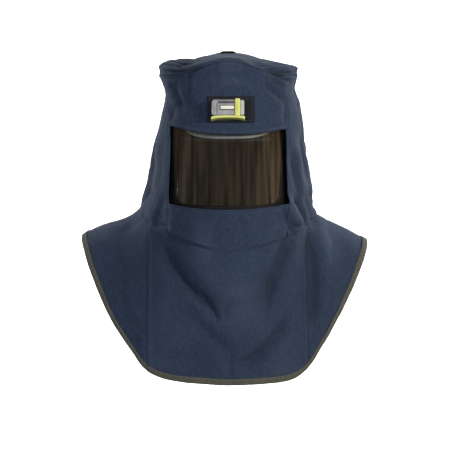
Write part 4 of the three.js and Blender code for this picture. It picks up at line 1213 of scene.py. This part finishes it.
# Binding tape folded round the hem
def section_rings(edges, normals, downs, width, wall):
    """Rings of a folded tape round the cloth's edge, one for each point of the hem."""
    outline = []
    for out in (FIT, FIT + wall):
        half = CLOTH / 2 + out
        side = []
        for degrees in (90, 60, 30, 0, -30, -60, -90):
            turn = math.radians(degrees)
            side.append((half * math.sin(turn), out * 0.4 + half * math.cos(turn) * 0.55))
        run = [(half, -width), (half, -width * 0.6), (half, -width * 0.25)]
        outline.append(run + side + [(-across, down) for across, down in run[::-1]])
    rings = []
    for across, down in outline[1] + outline[0][::-1]:
        rings.append(edges - normals * (CLOTH / 2) + normals * across + downs * down)
    return np.stack(rings, 1)


def evened(directions):
    """Directions round the hem, each turned half way to its neighbours."""
    return unit(directions + (np.roll(directions, 1, 0) + np.roll(directions, -1, 0)) / 2)


def hem_tape():
    edges = []
    normals = []
    downs = []
    for name in ("bib_front", "cape_right", "bib_back", "cape_left"):
        outer = panels[name].outer[panels[name].span]
        edges.append(outer[-1])
        normals.append(panels[name].normals[panels[name].span][-3])
        downs.append(unit(outer[-1] - outer[-6]))
    edges = np.concatenate(edges)
    normals = evened(evened(unit(np.concatenate(normals))))
    downs = evened(evened(unit(np.concatenate(downs))))
    waves = BINDING_WAVE * noise(edges, BINDING_WAVE_SIZE, BINDING_WAVE_SEED)[:, None]
    rings = section_rings(edges + normals * waves, normals, downs, BINDING_WIDTH, BINDING_WALL)
    piece = round_grid("hem_tape", rings)
    along = lengths_along(edges, 0)
    size = rings.shape[1]
    set_uv(piece.data, points_of(along[:, None], np.arange(size)[None] * 2.0))
    piece.data.materials.append(BINDING_TAPE)
    finish_piece(piece, "binding_tape", "hem_binding")
    front = edges + downs * (-BINDING_WIDTH * 0.8) + normals * (FIT + BINDING_WALL + waves)
    return np.concatenate([front, front[:1]]), np.concatenate([normals, normals[:1]])


sew("hem_stitching", [hem_tape()], pitch=4.0, slot="binding_tape")


# Visor: one curved sheet, its edging, and the bar that joins it to the cap
def visor_point(x, z, lift):
    middle = VISOR_SET_BACK - FRONT_REACH + VISOR_RADIUS + VISOR_LEAN * (z + WINDOW_BOTTOM)
    turn = np.arcsin(x / VISOR_RADIUS)
    reach = VISOR_RADIUS + lift
    return points_of(reach * np.sin(turn), middle - reach * np.cos(turn), z)


visor_top = -WINDOW_TOP + WINDOW_TILT / 2 + VISOR_OVER


def arc_plate(name, half_at, top, bottom, lift, thickness, columns, rows, finish):
    share = np.linspace(0, 1, rows)[:, None]
    across = np.linspace(-1, 1, columns)[None]
    z = mix(top, bottom, share) + 0 * across
    x = across * half_at(z)
    return shell(name, visor_point(x, z, lift), visor_point(x, z, lift - thickness), materials=(finish,))


def round_edges(piece, width, segments=2, angle=40):
    bevel = piece.modifiers.new("edges", "BEVEL")
    bevel.width = width * MM
    bevel.segments = segments
    bevel.limit_method = "ANGLE"
    bevel.angle_limit = math.radians(angle)
    bevel.harden_normals = True
    piece.data.shade_smooth()
    return piece


visor = arc_plate("visor_sheet", lambda z: window_half(z) + VISOR_LAP, visor_top, -VISOR_BOTTOM,
                  lift=0, thickness=VISOR_WALL, columns=97, rows=49, finish=VISOR_GLASS)
round_edges(visor, width=0.5)
finish_piece(visor, "visor_sheet", "visor")


def visor_edging():
    """A strip between the glass's rounded outline and the cloth, thicker away from the glass."""
    bottom = -WINDOW_BOTTOM + EDGING_STRIP / 2
    top = -WINDOW_TOP + WINDOW_TILT / 2
    low = -WINDOW_BOTTOM - WINDOW_BOTTOM_DROOP - EDGING_LAP
    high = visor_top - EDGING_LAP
    half = GLASS_BOTTOM_HALF - GLASS_CORNER

    def glass_half(z):
        return mix(GLASS_BOTTOM_HALF, GLASS_TOP_HALF, (z - bottom) / (top - bottom))

    def edge_half(z):
        return window_half(z) + EDGING_LAP

    # Rows of the right half from the middle below: glass across and up, edge across and up
    right = [(share * half, bottom, share * half, low) for share in np.linspace(0, 1, 24)]
    for share in np.linspace(0, 1, 13)[1:-1]:
        turn = share * math.pi / 2
        z = bottom + GLASS_CORNER * (1 - math.cos(turn))
        if share > 0.5:
            edge = (edge_half(z), mix(low, z, 0.5))
        else:
            edge = (mix(half, edge_half(low), share * 2), low)
        right.append((half + GLASS_CORNER * math.sin(turn), z, *edge))
    for share in np.linspace(0, 1, 30):
        z = mix(bottom + GLASS_CORNER, high - EDGING_STRIP, share)
        right.append((glass_half(z), z, edge_half(z), high if share == 1 else z))
    for share in np.linspace(1, 0, 24)[1:]:
        right.append((share * glass_half(high), high - EDGING_STRIP, share * edge_half(high), high))
    right = np.array(right)
    outline = np.concatenate([right, right[-2:0:-1] * np.array([-1, 1, -1, 1])])
    glass = outline[:, :2]
    edge = outline[:, 2:]
    shares = [0, 0.04, 0.14, 0.35, 0.6, 0.8, 1]
    lifts = [EDGING_FIT + EDGING_WALL * full for full in (0, 0.75, 1, 1, 1, 1, 1)]
    rings = []
    for share, lift in zip(shares + shares[::-1], lifts + [EDGING_FIT * 0.3] * len(shares)):
        spot = mix(glass, edge, share)
        rings.append(visor_point(spot[:, 0], spot[:, 1], lift))
    piece = round_grid("visor_edging", np.stack(rings, 1))
    piece.data.materials.append(EDGING_RUBBER)
    return piece


def face_outwards(piece):
    mesh = bmesh.new()
    mesh.from_mesh(piece.data)
    bmesh.ops.remove_doubles(mesh, verts=mesh.verts, dist=1e-6)
    bmesh.ops.recalc_face_normals(mesh, faces=mesh.faces)
    mesh.to_mesh(piece.data)
    mesh.free()
    return piece


finish_piece(face_outwards(visor_edging()), "visor_edging", "visor_gasket")

carrier_top = -CAP_RIM_DROP - BRIM_DROP - BRIM_WALL - FIT
carrier = arc_plate("visor_bar", lambda z: CARRIER_HALF + 0 * z, carrier_top, carrier_top - CARRIER_HEIGHT,
                    lift=-VISOR_WALL - FIT, thickness=CARRIER_DEPTH, columns=49, rows=3,
                    finish=CARRIER_PLASTIC)
round_edges(carrier, width=1.0)
finish_piece(carrier, "carrier_bar", "visor_carrier")


# Hard cap: a turned dome, and its peak
def cap_dome():
    height = CROWN_TOP - CLOTH - CAP_GAP + CAP_RIM_DROP
    turn = np.linspace(0, math.pi / 2, 33)[:, None]
    round_about = np.linspace(0, 2 * math.pi, 97)[None, :-1]
    walls = []
    for inward in (0, CAP_WALL):
        out = np.sin(turn) ** (2 / CAP_ROUND) * (CAP_SIDE - inward)
        up = np.cos(turn) ** (2 / CAP_ROUND) * (height - inward) - CAP_RIM_DROP
        y = -out * np.cos(round_about)
        y = y * np.where(y < 0, CAP_FRONT, CAP_BACK) / CAP_SIDE
        walls.append(points_of(out * np.sin(round_about), y, up))
    outer, inner = walls
    return round_grid("cap_shell", np.concatenate([outer, inner[::-1]]), closed=False)


def cap_peak():
    share = np.linspace(-1, 1, 65)[None]
    depth = np.linspace(0, 1, 13)[:, None]
    reach = depth * mix(0.1, 1, np.sqrt(1 - share ** 4))
    x = share * BRIM_HALF + 0 * depth
    rim = -CAP_FRONT * np.sqrt(1 - (x / CAP_SIDE) ** 2) + CAP_WALL * 0.6
    front = visor_point(x, carrier_top + 0 * x, -VISOR_WALL - BRIM_SET_BACK)[..., 1]
    z = mix(BRIM_WALL / 2, -BRIM_DROP, reach) - CAP_RIM_DROP
    top = np.stack([x, mix(rim, front, reach), z], -1)[::-1]
    return shell("cap_peak", top, top - np.array([0, 0, BRIM_WALL]), materials=(CAP_PLASTIC,))


cap = face_outwards(cap_dome())
cap.data.materials.append(CAP_PLASTIC)
finish_piece(cap, "cap_shell", "hard_cap")
peak = face_outwards(cap_peak())
round_edges(peak, width=1.4, segments=3)
finish_piece(peak, "cap_shell", "hard_cap")

# Patch and lamp on the forehead
lamp_spot = front_point(np.float64(0), np.float64(-LAMP_DROP))
beside = front_point(np.array([-1.0, 1.0, 0, 0]), -LAMP_DROP + np.array([0, 0, -1.0, 1.0]))
lamp_normal = unit(np.cross(beside[2] - beside[3], beside[1] - beside[0]))
lamp_turn = Matrix.Rotation(-math.atan2(lamp_normal[2], -lamp_normal[1]), 4, "X")
LAMP_PLACE = Matrix.Translation(Vector((lamp_spot + lamp_normal * (PATCH_WALL + FIT)) * MM)) @ lamp_turn


def patch():
    """The patch, and the four rows of stitches near its edges."""
    a = np.linspace(0, 1, 43)[None]
    b = np.linspace(0, 1, 25)[:, None]
    x = PATCH_SHIFT + (a - 0.5) * PATCH_WIDTH + 0 * b
    z = -LAMP_DROP + (0.5 - b) * PATCH_HEIGHT + 0 * a
    base = front_point(x, z)
    normals = grid_normals(base)
    fuzz = PATCH_FUZZ * noise(base, 2.5, 31)
    outer = base + normals * (PATCH_WALL + FIT + fuzz)[..., None]
    inner = base + normals * (FIT - 0.3)
    piece = shell("loop_patch", outer, inner, materials=(HOOK_TAPE,))
    row = (b[:, 0] * PATCH_HEIGHT > PATCH_SEW_INSET).argmax()
    column_in = (a[0] * PATCH_WIDTH > PATCH_SEW_INSET).argmax()
    along = slice(column_in, -column_in)
    up = slice(row, -row)
    ring = [(row, along), (-row - 1, along), (up, column_in), (up, -column_in - 1)]
    return piece, [(outer[where], normals[where]) for where in ring]


patch_piece, patch_lines = patch()
finish_piece(patch_piece, "hook_loop", "lamp_patch")
sew("patch_stitching", patch_lines, pitch=3.4, size=(2.5, 0.6, 0.5), slot="hook_loop")


def solid(outline, back, front, finish, edge):
    """A plate with an outline of lamp places (along, up), between two depths in front of the patch."""
    count = len(outline)
    vertices = [(x, -front, z) for x, z in outline] + [(x, -back, z) for x, z in outline]
    faces = [list(range(count)), list(range(2 * count - 1, count - 1, -1))]
    faces += [[i, i + count, (i + 1) % count + count, (i + 1) % count] for i in range(count)]
    made = face_outwards(new_object("lamp_part", vertices, faces))
    made.data.materials.append(finish)
    return round_edges(made, width=edge, segments=3, angle=30)


def box(x0, x1, z0, z1, cut, back, front, finish, edge):
    """A plate between two places along and two up, with its corners cut off where cut is above 0."""
    if cut:
        outline = [(x0 + cut, z0), (x1 - cut, z0), (x1, z0 + cut), (x1, z1 - cut), (x1 - cut, z1),
                   (x0 + cut, z1), (x0, z1 - cut), (x0, z0 + cut)]
    else:
        outline = [(x0, z0), (x1, z0), (x1, z1), (x0, z1)]
    return solid(outline, back, front, finish, edge)


def joined(name, parts):
    """One object of several, their modifiers applied and the lamp's place taken into the mesh."""
    bpy.context.view_layer.update()
    graph = bpy.context.evaluated_depsgraph_get()
    whole = bmesh.new()
    finishes = []
    for part in parts:
        mesh = bpy.data.meshes.new_from_object(part.evaluated_get(graph))
        start = len(whole.faces)
        whole.from_mesh(mesh)
        whole.faces.ensure_lookup_table()
        finish = mesh.materials[0]
        if finish not in finishes:
            finishes.append(finish)
        for face in whole.faces[start:]:
            face.material_index = finishes.index(finish)
            face.smooth = True
        bpy.data.objects.remove(part)
    mesh = bpy.data.meshes.new(name)
    whole.transform(LAMP_PLACE)
    whole.to_mesh(mesh)
    whole.free()
    for finish in finishes:
        mesh.materials.append(finish)
    return add_object(name, mesh)


LEFT = -LAMP_LENGTH / 2
RIGHT = LAMP_LENGTH / 2
TOP = LAMP_HEIGHT / 2
LENS = RIGHT - 7
BAND_WIDTH = 9
BAND = LENS - FIT - BAND_WIDTH
FACE = LAMP_DEPTH + FIT
# Where the frame's parts start in depth, and where they end beside the band
DEEP = FACE - 4
SIDE = BAND - FIT

# Each part: from and to along, from and to up, cut corners, from and to ahead, finish, rounding
body = joined("lamp_case", [
    box(LEFT, LENS - FIT, -TOP, TOP, 3, FIT, FACE - 1.6, LAMP_PLASTIC, 1.2),
    box(LEFT + 0.6, LEFT + 8.4, 1.4 - TOP, TOP - 1.4, 2.4, DEEP, FACE - 0.4, LAMP_PLASTIC, 1.0),
    box(LEFT + 11, SIDE, TOP - 2.6, TOP - 0.9, 0, DEEP, FACE - 0.6, LAMP_PLASTIC, 0.6),
    box(LEFT + 9.6, SIDE, 1.2 - TOP, 9.4 - TOP, 1.2, DEEP, FACE, LAMP_PLASTIC, 0.9),
    box(LEFT + 9.6, SIDE, TOP - 11, TOP - 7.2, 1.0, DEEP, FACE, LAMP_PLASTIC, 0.8),
    box(LEFT + 11, BAND - 0.6, TOP - 7, TOP - 2.8, 0, DEEP, FACE - 1.2, LAMP_RECESS, 0.4),
    box(LEFT + 8.6, LEFT + 10.2, 4 - TOP, TOP - 7, 0, DEEP, FACE - 1.3, LAMP_RECESS, 0.3),
])
finish_piece(body, "lamp_case", "lamp_body")

plate = joined("lamp_name_plate", [
    box(BAND - 27, BAND - 1.4, -4.6, 4.4, 1.6, FACE - 3, FACE + 0.1, LAMP_RECESS, 0.4),
    box(BAND - 26, BAND - 2, -3.2, 2.8, 1.2, FACE - 3, FACE + 0.6, PLATE_PLASTIC, 0.5),
])
finish_piece(plate, "lamp_face", "lamp_plate")

lens = joined("lamp_lens_end", [
    box(LENS, RIGHT, 1 - TOP, TOP - 1, 1.6, FIT + 1, FACE - 1, LAMP_CLEAR, 0.9),
    box(LENS + 0.8, RIGHT - 2.4, 3 - TOP, TOP - 3, 0, FIT + 2.4, FACE - 2.2, REFLECTOR, 0.6),
])
finish_piece(lens, "lamp_window", "lamp_lens")

foot_top = []
foot_low = []
for t in np.linspace(-1, 1, 25):
    is_left = t < 0
    foot_top.append((t * 30, -TOP - 1.2 * t ** 2 - (1.4 * t ** 6 if is_left else 0)))
    foot_low.append((t * 30, -TOP - FIT - 3.6 - 3.0 * t ** 4 - (0.6 * t ** 2 if is_left else 0)))
clip = joined("lamp_clip_band", [
    box(BAND, BAND + BAND_WIDTH, -TOP - 2, TOP + 1.6, 1.4, FIT, FACE + 1.6, CLIP_PLASTIC, 1.1),
    box(BAND + 3.4, BAND + 5.6, 5 - TOP, TOP - 5, 0, FACE, FACE + 2.2, CLIP_PLASTIC, 0.7),
    solid(foot_top + foot_low[::-1], FIT, FACE, CLIP_PLASTIC, 1.0),
])
finish_piece(clip, "lamp_holder", "lamp_clip")


# Webbing loop on the crown
def hang_loop():
    half = LOOP_LENGTH / 2
    top = CROWN_TOP + LOOP_RISE
    feet = CROWN_TOP + FIT + LOOP_WALL
    right = np.array([(half - LOOP_FOOT, top), (half, feet), (half + LOOP_FOOT, feet)])
    knots = np.concatenate([right[::-1] * np.array([-1, 1]), right])
    t = np.linspace(0, len(knots) - 1, 61)
    line = np.stack([np.interp(t, range(len(knots)), knots[:, k]) for k in (0, 1)])
    for _ in range(6):
        line[:, 1:-1] = (line[:, :-2] + 2 * line[:, 1:-1] + line[:, 2:]) / 4
    x, z = line
    y = np.linspace(-LOOP_WIDTH / 2, LOOP_WIDTH / 2, 13)[:, None]
    lean = LOOP_RISE / 2 * (0.5 - y / LOOP_WIDTH) * smooth((half - np.abs(x)) / LOOP_FOOT)
    outer = points_of(x, y, z - lean)
    normals = grid_normals(outer)
    normals = np.where(normals[..., 2:3] < 0, -normals, normals)
    along = np.cumsum(np.hypot(np.gradient(x), np.gradient(z)))
    uv = points_of(along, -y)
    return face_outwards(shell("hang_loop_webbing", outer, outer - normals * LOOP_WALL, uv, (WEBBING,)))


finish_piece(hang_loop(), "loop_webbing", "hang_loop")

# Stage: pale floor that rises into the backdrop, soft lights and the camera. Lengths are in metres.
STAGE_DROP = 1.5
STAGE_FRONT = 1.2
STAGE_BEND = 1.2
STAGE_BEND_START = 2.0
STAGE_HALF = 1.7
STAGE_TOP = 0.7


def stage():
    profile = [(STAGE_FRONT, -STAGE_DROP)]
    for turn in np.linspace(0, math.pi / 2, 17):
        profile.append((STAGE_BEND_START + STAGE_BEND * math.sin(turn),
                        -STAGE_DROP + STAGE_BEND * (1 - math.cos(turn))))
    profile.append((STAGE_BEND_START + STAGE_BEND, STAGE_TOP))
    vertices = [(x, y, z) for y, z in profile for x in (-STAGE_HALF, STAGE_HALF)]
    faces = [(2 * i, 2 * i + 1, 2 * i + 3, 2 * i + 2) for i in range(len(profile) - 1)]
    mesh = bpy.data.meshes.new("backdrop")
    mesh.from_pydata(vertices, [], faces)
    mesh.shade_smooth()
    mesh.materials.append(material("backdrop_paper", "#fafafa", 0.9)[0])
    add_object("backdrop", mesh)


stage()


def facing(place, target):
    return (Vector(target) - Vector(place)).to_track_quat("-Z", "Y").to_euler()


def area_light(name, place, target, size, power, colour="#ffffff"):
    data = bpy.data.lights.new(name, "AREA")
    data.shape = "RECTANGLE"
    data.size, data.size_y = size
    data.energy = power
    data.color = linear(colour)[:3]
    made = add_object(name, data)
    made.location = place
    made.rotation_euler = facing(place, target)


area_light("key", (1.95, -1.75, 0.5), (0, 0, -0.25), (0.35, 0.35), 52, "#fff4e4")
area_light("front", (-0.7, -2.7, 0.5), (0, 0, -0.3), (0.8, 0.6), 27, "#fbfaff")
area_light("side_left", (-2.0, 0.04, 0.0), (0, 0, -0.25), (0.16, 1.6), 1.8, "#fff0e0")
area_light("top", (0.1, 0.5, 1.8), (0, 0, 0), (0.8, 0.6), 6, "#f2f4dc")
area_light("backdrop_left", (-2.3, 1.7, 0.6), (0.2, 3.2, -0.8), (1.2, 2.0), 150)
area_light("backdrop_right", (2.3, 1.7, 0.6), (-0.2, 3.2, -0.8), (1.2, 2.0), 150)

world = bpy.data.worlds.new("studio")
world.use_nodes = True
background = world.node_tree.nodes["Background"]
background.inputs["Color"].default_value = (1, 1, 1, 1)
background.inputs["Strength"].default_value = 0.18
bpy.context.scene.world = world
bpy.context.scene.view_settings.view_transform = "Standard"

# The camera's field holds 450 pixels, and its lens is 1018 pixels long
PICTURE = 450
LENS_PIXELS = 1018
CAMERA = (0, -2.0, 0.088)
AIM = (0, 0, -0.292)
camera = bpy.data.cameras.new("camera")
camera.sensor_width = 36
camera.lens = 36 * LENS_PIXELS / PICTURE
camera.shift_x = -3 / PICTURE
camera_object = add_object("camera", camera)
camera_object.location = CAMERA
camera_object.rotation_euler = facing(CAMERA, AIM)
bpy.context.scene.camera = camera_object
